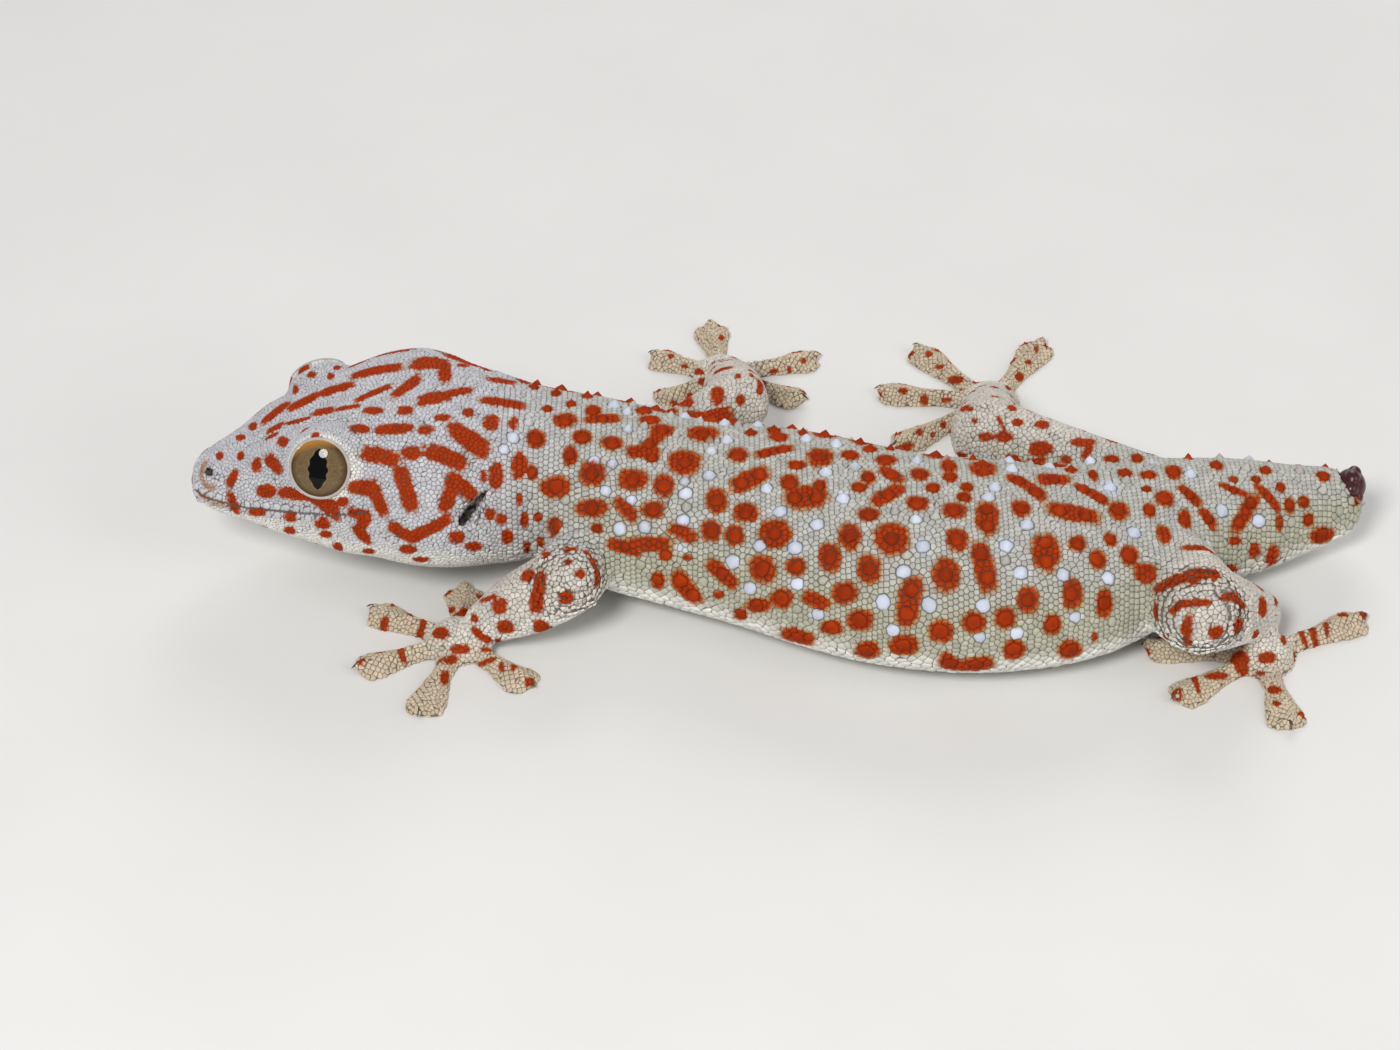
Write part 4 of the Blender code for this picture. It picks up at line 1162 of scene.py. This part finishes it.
def dome(sides, rings):
    """A closed dome of unit reach, raised ring by ring from a disc and poked up to its tip."""
    bm = bmesh.new()
    bmesh.ops.create_circle(bm, cap_ends=True, segments=sides, radius=rings[0][0])
    bmesh.ops.translate(bm, verts=bm.verts, vec=(0, 0, rings[0][1]))
    base = top = list(bm.faces)
    for (inner, low), (outer, high) in zip(rings, rings[1:]):
        made = bmesh.ops.extrude_face_region(bm, geom=top)["geom"]
        if top is not base:
            bmesh.ops.delete(bm, geom=[f for f in top if f.is_valid], context="FACES_ONLY")
        verts = [v for v in made if isinstance(v, bmesh.types.BMVert)]
        top = [f for f in made if isinstance(f, bmesh.types.BMFace)]
        bmesh.ops.scale(bm, verts=verts, vec=(outer / inner, outer / inner, 1))
        bmesh.ops.translate(bm, verts=verts, vec=(0, 0, high - low))
    bmesh.ops.poke(bm, faces=top, offset=0)
    tip = max(bm.verts, key=lambda v: (v.co.z, -v.co.xy.length))
    tip.co.z = 1.0
    bmesh.ops.recalc_face_normals(bm, faces=bm.faces)
    uv = bm.loops.layers.uv.new("OFBake")
    for face in bm.faces:
        for loop in face.loops:
            loop[uv].uv = loop.vert.co.xy * PATCH / 2
    return as_mesh(bm, "dome", smooth=True)


def unwrapped(places, owners, axes):
    """Each root's place on a map of the skin: along its node's own length, and round it, node by node."""
    nodes = sorted(set(owners.tolist()))
    spots = np.zeros((len(places), 2))
    for row, node in enumerate(nodes):
        own = owners == node
        centre, direction = axes[node]
        side = unit(np.cross(direction, (0.0, 0.3, 1.0)))
        lift = np.cross(side, direction)
        out = places[own] - centre
        length = out @ direction
        spots[own, 0] = (length - length.min()) / max(np.ptp(length), MM)
        turn = np.arctan2(out @ lift, out @ side) / (2 * math.pi) + 0.5
        spots[own, 1] = (row + STRIP_EDGE + (1 - 2 * STRIP_EDGE) * turn) / len(nodes)
    return MAP_EDGE + (1 - 2 * MAP_EDGE) * spots


CONE, LIP, SEAM, FOLD = 0, 1, 2, 3


class Coat:
    """The scales of the animal: places, sizes and colours, before they are made into meshes."""

    def __init__(self, surface):
        sizes = bpy.context.scene.gecko_sizes
        draw = np.random.default_rng(sizes.seed)
        self.marks = surface.marks
        cones, cone_widths = tubercle_places(surface, self.marks)
        lips = labial_places(surface)
        seams = seam_places(surface)
        folds = fold_places(surface, sizes.limb_scale)
        rows = trunk_rows(surface, sizes.back_scale)
        rows = rows + draw.uniform(-ROW_STRAY, ROW_STRAY, rows.shape) * sizes.back_scale
        loose = scattered(surface, draw, LOOSE)
        groups = (cones, lips, seams, folds, toe_rows(surface), rows, loose)
        kinds = np.concatenate([np.full(len(group), kind) for kind, group in enumerate(groups)])
        places, normals = surface.nearest(np.concatenate(groups))
        owners = surface.owners(places)
        wide = widths(places, normals, owners)
        wide[kinds == CONE] = cone_widths
        wide[kinds == LIP] = LABIAL_LENGTH * LABIAL_SHARE
        wide[kinds == SEAM] = SEAM_WIDTH
        bare = bared(surface, places, normals, owners) & (kinds != SEAM)
        places, wide, kinds = places[~bare], wide[~bare], kinds[~bare]
        kept = thinned(places, wide, kinds <= SEAM)
        places, wide, kinds = places[kept], wide[kept], kinds[kept]
        self.places, self.normals = spread(surface, places, wide, kinds <= FOLD, SPREAD_ROUNDS)
        self.wide, self.kinds = wide, kinds
        self.owners = surface.owners(self.places)
        self.bare = bared(surface, self.places, self.normals, self.owners) | (kinds == SEAM)
        self.noise = draw.uniform(-EDGE_STRAY, EDGE_STRAY, len(places))
        self.grain = draw.random(len(places))
        uneven = draw.uniform(*UNEVEN, len(wide))
        self.on_back = step(*BACK_FADE, self.normals[:, 2])
        cone = sizes.tubercle_height * (FLANK_HEIGHT + (1 - FLANK_HEIGHT) * self.on_back)
        low = np.minimum(wide * SCALE_RISE, SCALE_DEPTH * SCALE_TALLEST) * uneven
        self.height = np.where(kinds == CONE, cone, low)


def bared(surface, places, normals, owners):
    """Where no scale grows: eye sockets, ear cup, wound, and the soles of the toes."""
    none = on(owners, TOE_NODES) & (normals[:, 2] < SOLE)
    for eye in EYES:
        out = places - np.array(middle(eye))
        far = np.linalg.norm(out, axis=1)
        inward = (unit(out) * normals).sum(axis=1) < SOCKET_INWARD
        ahead = unit(out) @ np.array(surface.looks[eye]) > math.cos(CAP_EDGE - SOCKET_OVERLAP)
        none |= (far < SOCKET_REACH) & (inward | ahead)
    none |= np.linalg.norm(places - np.array(middle("tail_break") + WOUND_SHIFT), axis=1) < WOUND_REACH
    for mark in surface.marks:
        if mark.kind == "dark":
            none |= mark.reach(places) < PIT_BARE
    return none


def coat_mesh(coat, chosen, geometry, template, axes, name):
    """One mesh of a dome for each chosen scale, drawn out to that scale's cell."""
    first, second, corners, reach = (part[chosen] for part in geometry)
    base = placed(name, template)
    copies = base.modifiers.new("copies", "ARRAY")
    copies.use_relative_offset = False
    copies.count = len(chosen)
    mesh = applied(base)
    bpy.data.objects.remove(base)
    shape = positions(template)
    out = np.hypot(shape[:, 0], shape[:, 1])
    sides = corners.shape[1]
    turn = np.arctan2(shape[:, 1], shape[:, 0]) / (2 * math.pi) - 0.25
    turn = np.round(turn * sides).astype(int) % sides
    angle, far = corners[:, turn], reach[:, turn] * out
    places = (
        coat.places[chosen][:, None]
        + first[:, None] * (np.cos(angle) * far)[..., None]
        + second[:, None] * (np.sin(angle) * far)[..., None]
        + coat.normals[chosen][:, None] * (shape[:, 2] * coat.height[chosen][:, None])[..., None]
    )
    places[..., 2] = np.maximum(places[..., 2], 0)
    mesh.vertices.foreach_set("co", places.ravel())
    mesh.update()
    roots = unwrapped(coat.places[chosen], coat.owners[chosen], axes)
    layer = mesh.uv_layers["OFBake"]
    spots = np.empty(len(mesh.loops) * 2)
    layer.data.foreach_get("uv", spots)
    spots = spots.reshape(len(chosen), -1, 2) + roots[:, None]
    layer.data.foreach_set("uv", spots.ravel())
    each = np.repeat(chosen, len(shape))
    corners_at = places.reshape(-1, 3)
    amounts = painted(corners_at, coat.owners[each], coat.normals[each], coat.marks, coat.noise[each])
    low_lying = coat.kinds[each] != CONE
    amounts["ember"][low_lying] *= LOW_EMBER
    amounts["pale"][low_lying] *= LOW_LIGHT
    amounts["grain"] = coat.grain[each]
    for key, values in amounts.items():
        store(mesh, key, values)
    return mesh


def add(tree, kind, links=(), **settings):
    """A node with its settings; links give an input and what goes into it, a socket or a value."""
    made = tree.nodes.new(kind)
    for key, value in settings.items():
        setattr(made, key, value)
    for place, value in links:
        if isinstance(value, bpy.types.NodeSocket):
            tree.links.new(value, made.inputs[place])
        else:
            made.inputs[place].default_value = value
    return made


def new_material(name, inputs):
    """A Principled material with some inputs set: the material, its tree and its shader."""
    made = bpy.data.materials.new(name)
    made.use_nodes = True
    shader = made.node_tree.nodes["Principled BSDF"]
    for key, value in inputs.items():
        shader.inputs[key].default_value = value
    return made, made.node_tree, shader


def mix(tree, amount, low, high, blend="MIX"):
    node = add(tree, "ShaderNodeMix", ((0, amount), (6, low), (7, high)), data_type="RGBA", blend_type=blend)
    return node.outputs[2]


def bumped(tree, shader, height, strength, depth):
    """Relief too fine for the mesh."""
    bump = add(tree, "ShaderNodeBump", (("Height", height), ("Strength", strength), ("Distance", depth)))
    tree.links.new(bump.outputs[0], shader.inputs["Normal"])


def object_place(tree):
    return add(tree, "ShaderNodeTexCoord").outputs["Object"]


def clouds(tree, size, detail, distortion=0.0):
    """Noise in clouds of about one size."""
    links = (("Vector", object_place(tree)), ("Scale", 1 / size), ("Detail", detail))
    return add(tree, "ShaderNodeTexNoise", (*links, ("Distortion", distortion))).outputs["Fac"]


def ranged(tree, value, low, high, to_low=0.0, to_high=1.0):
    """A value carried from one range to another, and held inside it."""
    start = (("Value", value), ("From Min", low), ("From Max", high))
    end = (("To Min", to_low), ("To Max", to_high))
    return add(tree, "ShaderNodeMapRange", start + end).outputs[0]


def clouded(name, size, detail, tones, inputs, relief=None):
    """A material whose two tones lie in clouds; relief gives the strength and depth of its bumps."""
    made, tree, shader = new_material(name, inputs)
    amount = clouds(tree, size, detail)
    tree.links.new(mix(tree, amount, *tones), shader.inputs["Base Color"])
    if relief:
        bumped(tree, shader, amount, *relief)
    return made


def keratin(name, gap):
    """Lizard skin under a thin horny layer: matt with a faint satin sheen, soft light just under it.

    gap is how much of the dark colour between scales shows: a painted shade of the gaps between them."""
    tones = bpy.context.scene.gecko_colours
    made, tree, shader = new_material(name, {
        "Roughness": 0.7,
        "Specular IOR Level": 0.1,
        "IOR": 1.5,
        "Subsurface Weight": 0.04,
        "Subsurface Radius": (0.8, 0.4, 0.25),
        "Subsurface Scale": 0.5 * MM,
    })

    def amount(attribute):
        return add(tree, "ShaderNodeAttribute", attribute_name=attribute).outputs["Fac"]

    tone = mix(tree, amount("beige"), tones.head, tones.trunk)
    # dark is painted shade: in the ear opening, the nostrils and along the mouth line
    for attribute in ("limb", "belly", "toe", "halo", "pale", "orange", "ember", "dark"):
        tone = mix(tree, amount(attribute), tone, getattr(tones, attribute))
    for shade, low, high in ((clouds(tree, 2.2 * MM, 5.0), 0.82, 1.16), (amount("grain"), 0.86, 1.1)):
        tone = mix(tree, 1.0, tone, ranged(tree, shade, 0.0, 1.0, low, high), "MULTIPLY")
    # painted shade in the gaps between scales
    tone = mix(tree, gap, tone, tones.between)
    tree.links.new(tone, shader.inputs["Base Color"])
    bumped(tree, shader, clouds(tree, 0.16 * MM, 2.0), 0.25, 0.03 * MM)
    return made


class GECKO_OT_skin(bpy.types.Operator):
    """Makes the flesh nodes one skin, with the mouth line and the folds of the bent joints"""

    bl_idname = "gecko.skin"
    bl_label = "Skin"

    def execute(self, context):
        obj = skin_from_nodes()
        soften(obj, TRUNK_NODES + LIMB_NODES, 16)
        soften(obj, HEAD_NODES + PALM_NODES, 3)
        soften(obj, TOE_NODES, 1)
        keep_largest(obj.data)
        carve(obj.data, Surface(obj.data))
        mesh = obj.data
        bpy.data.objects.remove(obj)
        surface = surface_of(mesh)
        even = np.zeros(len(surface.points))
        amounts = painted(surface.points, surface.owner, surface.normals, surface.marks, even)
        amounts["grain"] = even + SKIN_GRAIN
        # painted shade along the groove of the mouth line
        for path in mouth_paths(surface, LINE_PITCH):
            line = 1 - step(*LINE_FADE, distance_to(surface.points, path))
            amounts["dark"] = np.maximum(amounts["dark"], LINE_SHADE * line)
        for key, values in amounts.items():
            store(mesh, key, values)
        skin = shown("skin", mesh, "body_skin", keratin("skin_between_scales", GAP_SHARE))
        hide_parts(*FLESH)
        return {"FINISHED"}


def surface_of(mesh):
    """The finished skin's shape with its markings, kept for the pieces that grow on it."""
    surface = Surface(mesh)
    surface.owner = surface.owners(surface.points)
    surface.is_trunk = on(surface.owner, TRUNK_NODES)
    surface.nape = surface.seen(*NAPE_PIXEL)[0]
    head = merged("head")
    tree = BVHTree.FromBMesh(head)
    head.free()
    surface.looks = {eye: gaze(eye, tree) for eye in EYES}
    seen = seen_marks(surface)
    near = seen + carried_marks(surface, seen)
    surface.marks = near + strewn_marks(surface, [mark.centre for mark in near])
    KEPT["surface"] = surface
    KEPT["trunk_tree"] = tree_of(surface.points[surface.is_trunk][::3])
    return surface


KEPT = {}

COAT_GROUPS = (
    ("head_scales", HEAD_NODES, "head_skin"),
    ("body_scales", TRUNK_NODES, "body_skin"),
    ("limb_scales", LIMB_NODES + PALM_NODES, "limb_skin"),
    ("toe_scales", TOE_NODES, "toe_skin"),
)


class GECKO_OT_scales(bpy.types.Operator):
    """Grows the granules, plates and tubercles over the skin"""

    bl_idname = "gecko.scales"
    bl_label = "Scales"

    def execute(self, context):
        surface = KEPT["surface"]
        coat = Coat(surface)
        axes = axes_of(surface)
        heads = np.array([axes[owner][1] for owner in coat.owners])
        material = keratin("granular_scales", 0.0)
        low = dome(GRANULE_SIDES, GRANULE)
        granules = cells(coat.places, coat.normals, heads, coat.wide, GRANULE_SIDES)
        for name, nodes, slot in COAT_GROUPS:
            own = np.flatnonzero(on(coat.owners, nodes) & (coat.kinds != CONE) & ~coat.bare)
            own = own[np.argsort(coat.places[own, 0], kind="stable")]
            for part, chosen in enumerate(np.array_split(own, math.ceil(len(own) / PIECE_SCALES))):
                title = f"{name}_{part + 1}"
                shown(title, coat_mesh(coat, chosen, granules, low, axes, title), slot, material)
        cones = cells(coat.places, coat.normals, heads, coat.wide, CONE_SIDES)
        on_top = coat.on_back >= 0.5
        for name, rings, own in (("tubercles", DISC, ~on_top), ("spikes", SPIKE, on_top)):
            chosen = np.flatnonzero((coat.kinds == CONE) & ~coat.bare & own)
            mesh = coat_mesh(coat, chosen, cones, dome(CONE_SIDES, rings), axes, name)
            shown(name, mesh, "body_skin", material)
        return {"FINISHED"}


def gaze(eye, tree):
    """The direction in which an eye looks out of its lids."""
    centre = middle(eye)
    open_ways = []
    for k in range(GAZE_RAYS):
        rise = 1 - 2 * (k + 0.5) / GAZE_RAYS
        turn = k * math.pi * (3 - math.sqrt(5))
        flat = math.sqrt(1 - rise * rise)
        ray = Vector((flat * math.cos(turn), flat * math.sin(turn), rise))
        if tree.ray_cast(centre, ray)[0] is None:
            open_ways.append(ray)
    return sum(open_ways, Vector()).normalized()


def turned(look, centre):
    """A matrix whose Z looks out of the eye and whose Y is up."""
    side = Vector((0, 0, 1)).cross(look).normalized()
    lift = look.cross(side)
    return Matrix.Translation(centre) @ Matrix((side, lift, look)).transposed().to_4x4()


def iris_material():
    """A gecko's eye: a veined, tan iris round a slit pupil, under a wet clear cornea."""
    tones = bpy.context.scene.gecko_colours
    made, tree, shader = new_material("wet_eye", {
        "Roughness": 0.5,
        "Specular IOR Level": 0.0,
        "Coat Weight": 0.6,
        "Coat Roughness": 0.02,
        "Coat IOR": 1.38,
    })
    at = add(tree, "ShaderNodeUVMap", uv_map="Gaze").outputs["UV"]

    def maths(operation, a, b=0.0):
        return add(tree, "ShaderNodeMath", ((0, a), (1, b)), operation=operation).outputs[0]

    parts = add(tree, "ShaderNodeSeparateXYZ", ((0, at),)).outputs
    x, y = parts[0], parts[1]
    out = maths("SQRT", maths("ADD", maths("MULTIPLY", x, x), maths("MULTIPLY", y, y)))
    veins = clouds(tree, 0.9 * MM, 8.0, 2.2)
    net_links = (("Vector", object_place(tree)), ("Scale", 1 / (0.2 * MM)))
    net = add(tree, "ShaderNodeTexVoronoi", net_links, feature="DISTANCE_TO_EDGE").outputs["Distance"]
    tone = mix(tree, maths("MULTIPLY", veins, 1.2), linear("3C2C1E"), tones.iris)
    tone = mix(tree, maths("MULTIPLY", net, 0.7), tone, linear("94805E"))
    tone = mix(tree, ranged(tree, out, 0.80, 1.02), tone, linear("3E2A18"))
    # the amber crescent along the iris's upper edge
    lean = maths("ADD", maths("MULTIPLY", y, 0.58), maths("MULTIPLY", x, -0.2))
    crescent = maths("ADD", lean, maths("MULTIPLY", out, 0.58))
    tone = mix(tree, ranged(tree, crescent, 0.88, 1.12), tone, linear("A4702C"))
    # the slit: widest in the middle, pinched by lobes, pointed above and below
    high = maths("SUBTRACT", 1.0, maths("POWER", maths("ABSOLUTE", maths("DIVIDE", y, 0.78)), 2.0))
    taper = maths("POWER", maths("MAXIMUM", high, 0.0), 0.7)
    lobes = maths("ADD", 1.0, maths("MULTIPLY", maths("COSINE", maths("MULTIPLY", y, 19.0)), 0.07))
    half = maths("SUBTRACT", maths("MULTIPLY", maths("MULTIPLY", taper, lobes), 0.42), 0.07)
    inside = maths("SUBTRACT", half, maths("ABSOLUTE", x))
    slit = ranged(tree, inside, -0.02, 0.02)
    rim = ranged(tree, inside, -0.06, 0.0)
    tone = mix(tree, maths("MULTIPLY", rim, 0.25), tone, linear("A88E64"))
    tone = mix(tree, slit, tone, linear("050404"))
    tree.links.new(tone, shader.inputs["Base Color"])
    relief = maths("MULTIPLY", veins, maths("SUBTRACT", 1.0, slit))
    bumped(tree, shader, relief, 0.3, 0.1 * MM)
    return made


def lid_material():
    """The bare edge of the lids: pale, smooth skin, faintly damp."""
    tones = linear("968C84"), bpy.context.scene.gecko_colours.rim
    return clouded("lid_edge_skin", 0.9 * MM, 4.0, tones, {"Roughness": 0.4}, (0.4, 0.1 * MM))


class GECKO_OT_eyes(bpy.types.Operator):
    """Makes the eyeballs and the edges of their lids"""

    bl_idname = "gecko.eyes"
    bl_label = "Eyes"

    def execute(self, context):
        looks = KEPT["surface"].looks
        iris, edge = iris_material(), lid_material()
        for eye in EYES:
            low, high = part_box(eye)
            radius = (high - low).x / 2
            place = turned(looks[eye], middle(eye))
            bm = bmesh.new()
            bmesh.ops.create_uvsphere(bm, u_segments=64, v_segments=48, radius=radius)
            for vert in bm.verts:
                vert.co = eyeball_point(vert.co, radius)
            uv = bm.loops.layers.uv.new("Gaze")
            for face in bm.faces:
                for loop in face.loops:
                    loop[uv].uv = loop.vert.co.xy / IRIS_RADIUS
            bmesh.ops.transform(bm, matrix=place, verts=bm.verts)
            ball = shown(eye + "_ball", as_mesh(bm, eye + "_ball", smooth=True), "eye", iris)
            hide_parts(eye)
            shown(eye + "_lid_edge", lid_edge(place, eye), "head_skin", edge)
        return {"FINISHED"}


def eyeball_point(point, radius):
    """A point of a ball moved out onto the flatter cap of the iris and cornea, which looks along Z."""
    angle = point.angle(Vector((0, 0, 1)))
    back = CAP_RADIUS - EYE_FRONT  # of the cap's own middle, behind the eye's

    def cap(turn):
        return math.sqrt(CAP_RADIUS**2 - (back * math.sin(turn)) ** 2) - back * math.cos(turn)

    if angle < CAP_EDGE:
        return point.normalized() * cap(angle)
    share = min((angle - CAP_EDGE) / (BALL_FROM - CAP_EDGE), 1)
    return point.normalized() * (cap(CAP_EDGE) * (1 - share) + radius * share)


def lid_edge(place, eye):
    """A soft ring where the lids meet the eyeball."""
    bm = bmesh.new()
    start = Matrix.Translation((LID_RADIUS, 0, LID_RISE)) @ Matrix.Rotation(math.pi / 2, 4, "X")
    bmesh.ops.create_circle(bm, segments=12, radius=LID_THICK, matrix=start)
    bmesh.ops.spin(
        bm, geom=list(bm.edges), cent=(0, 0, 0), axis=(0, 0, 1), angle=2 * math.pi, steps=72, use_merge=True
    )
    bmesh.ops.remove_doubles(bm, verts=bm.verts, dist=WELD)
    bmesh.ops.recalc_face_normals(bm, faces=bm.faces)
    bmesh.ops.transform(bm, matrix=place, verts=bm.verts)
    return as_mesh(bm, eye + "_lid_edge", smooth=True)


def horn_material():
    """Claw horn: brown keratin, smooth and a little glossy."""
    tones = linear("2E2018"), bpy.context.scene.gecko_colours.claw
    return clouded("claw_horn", 0.5 * MM, 3.0, tones, {"Roughness": 0.3})


class GECKO_OT_claws(bpy.types.Operator):
    """Makes a curved claw at the end of each toe but the first of each foot"""

    bl_idname = "gecko.claws"
    bl_label = "Claws"

    def execute(self, context):
        whole = bmesh.new()
        for toe in TOE_NODES:
            if toe.endswith("_1"):
                continue
            palm = palm_of(toe)
            corners = [v.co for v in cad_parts[toe].data.vertices]
            tip = max(corners, key=lambda p: (p.xy - palm.xy).length)
            out = tip - palm
            out.z = 0
            down = (out.normalized() - Vector((0, 0, CLAW_DIP))).normalized()
            mesh = claw_mesh(context.scene.gecko_sizes.claw)
            mesh.transform(Matrix.Translation(tip) @ down.to_track_quat("Z", "Y").to_matrix().to_4x4())
            append(whole, mesh)
        for vert in whole.verts:
            vert.co.z = max(vert.co.z, CLAW_LIFT)
        shown("claws", as_mesh(whole, "claws"), "toe_skin", horn_material())
        return {"FINISHED"}


def claw_mesh(length):
    """A claw that curves down to its point at the origin, rooted at -Z."""
    bm = bmesh.new()
    bmesh.ops.create_cone(bm, cap_ends=True, segments=10, radius1=CLAW_ROOT, radius2=CLAW_TIP, depth=length)
    bmesh.ops.translate(bm, verts=bm.verts, vec=(0, 0, -length / 2))
    for k in range(1, CLAW_RINGS):
        geom = list(bm.verts) + list(bm.edges) + list(bm.faces)
        bmesh.ops.bisect_plane(bm, geom=geom, plane_co=(0, 0, -length * k / CLAW_RINGS), plane_no=(0, 0, 1))
    for vert in bm.verts:
        share = -vert.co.z / length
        vert.co.y += CLAW_BEND * (1 - (2 * share - 1) ** 2)
    return as_mesh(bm, "claw", smooth=True)


def flesh_material():
    """Raw muscle, dark and wet, its darker tone lying in the hollows of its bumps."""
    tones = linear("1E0406"), bpy.context.scene.gecko_colours.flesh
    inputs = {"Roughness": 0.4, "Specular IOR Level": 0.3, "Coat Weight": 0.35, "Coat Roughness": 0.2}
    return clouded("raw_muscle", 1.1 * MM, 6.0, tones, inputs, (0.5, 0.2 * MM))


class GECKO_OT_wound(bpy.types.Operator):
    """Makes the raw end where the tail has been shed"""

    bl_idname = "gecko.wound"
    bl_label = "Wound"

    def execute(self, context):
        low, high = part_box("tail_break")
        centre = (low + high) / 2 + WOUND_SHIFT
        half = (high - low) / 2 * WOUND_GROWTH
        draw = np.random.default_rng(context.scene.gecko_sizes.seed)
        lumps = [(centre, CORE_SHARE)]
        for k in range(LUMPS):
            turn = 2 * math.pi * k / LUMPS
            around = math.cos(turn) * LUMP_RING, math.sin(turn) * LUMP_RING
            aside = Vector((draw.uniform(*LUMP_BACK), *around))
            offset = Vector(a * b for a, b in zip(aside, half))
            lumps.append((centre + offset, draw.uniform(*LUMP_SHARE)))
        bm = bmesh.new()
        for place, share in lumps:
            shape = Matrix.Translation(place) @ Matrix.Diagonal((*(half * share), 1))
            bmesh.ops.create_icosphere(bm, subdivisions=3, radius=1, matrix=shape)
        obj = placed("raw_end", as_mesh(bm, "raw_end"))
        remesh(obj, WOUND_VOXEL)
        obj.modifiers.new("soften", "SMOOTH").iterations = 3
        mesh = applied(obj)
        bpy.data.objects.remove(obj)
        wound = shown("raw_end", mesh, "tail_break", flesh_material())
        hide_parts("tail_break")
        return {"FINISHED"}


def floor_material():
    """A pale painted studio floor, matt, with the faintest unevenness."""
    tones = linear("DAD9D6"), linear("E2E1DE")
    return clouded("painted_floor", 40 * MM, 3.0, tones, {"Roughness": 0.85})


class GECKO_OT_stage(bpy.types.Operator):
    """Makes the floor, the lights and the camera"""

    bl_idname = "gecko.stage"
    bl_label = "Stage"

    def execute(self, context):
        scene = context.scene
        bm = bmesh.new()
        bmesh.ops.create_grid(bm, x_segments=1, y_segments=1, size=FLOOR_HALF)
        shown("floor", as_mesh(bm, "floor"), "", floor_material())
        camera = bpy.data.cameras.new("camera")
        camera.sensor_width = SENSOR
        camera.lens = SENSOR * VIEW_DISTANCE / (PHOTO_SIZE[0] * PIXEL)
        camera.clip_start = 0.02
        eye = placed("camera", camera)
        eye.location = camera_place()
        eye.rotation_euler = (math.pi / 2 - VIEW_DOWN, 0, 0)
        scene.camera = eye
        for name, place, size, power in LAMPS:
            lamp = bpy.data.lights.new(name, "AREA")
            lamp.shape = "DISK"
            lamp.size = size
            lamp.energy = power
            obj = placed(name, lamp)
            obj.location = place
            obj.rotation_euler = (Vector(place) - LAMPS_AIM).to_track_quat("Z", "Y").to_euler()
        world = bpy.data.worlds.new("studio")
        world.use_nodes = True
        world.node_tree.nodes["Background"].inputs[0].default_value = linear("F2F2F4")
        world.node_tree.nodes["Background"].inputs[1].default_value = 0.4
        scene.world = world
        scene.view_settings.view_transform = "Standard"
        return {"FINISHED"}


class GECKO_PT_panel(bpy.types.Panel):
    """Lists the pieces of the gecko and their sizes and colours"""

    bl_idname = "GECKO_PT_panel"
    bl_label = "Gecko"
    bl_space_type = "VIEW_3D"
    bl_region_type = "UI"
    bl_category = "Gecko"

    def draw(self, context):
        for operator in OPERATORS:
            self.layout.operator(operator.bl_idname)
        for group in (context.scene.gecko_sizes, context.scene.gecko_colours):
            for name in group.__annotations__:
                self.layout.prop(group, name)


OPERATORS = (GECKO_OT_skin, GECKO_OT_scales, GECKO_OT_eyes, GECKO_OT_claws, GECKO_OT_wound, GECKO_OT_stage)
CLASSES = (GeckoSizes, GeckoColours, *OPERATORS, GECKO_PT_panel)


def register():
    for made in CLASSES:
        bpy.utils.register_class(made)
    bpy.types.Scene.gecko_sizes = PointerProperty(type=GeckoSizes)
    bpy.types.Scene.gecko_colours = PointerProperty(type=GeckoColours)


def unregister():
    del bpy.types.Scene.gecko_colours
    del bpy.types.Scene.gecko_sizes
    for made in reversed(CLASSES):
        bpy.utils.unregister_class(made)


def main():
    register()
    for piece in ("skin", "scales", "eyes", "claws", "wound", "stage"):
        getattr(bpy.ops.gecko, piece)()


if __name__ == "__main__":
    main()
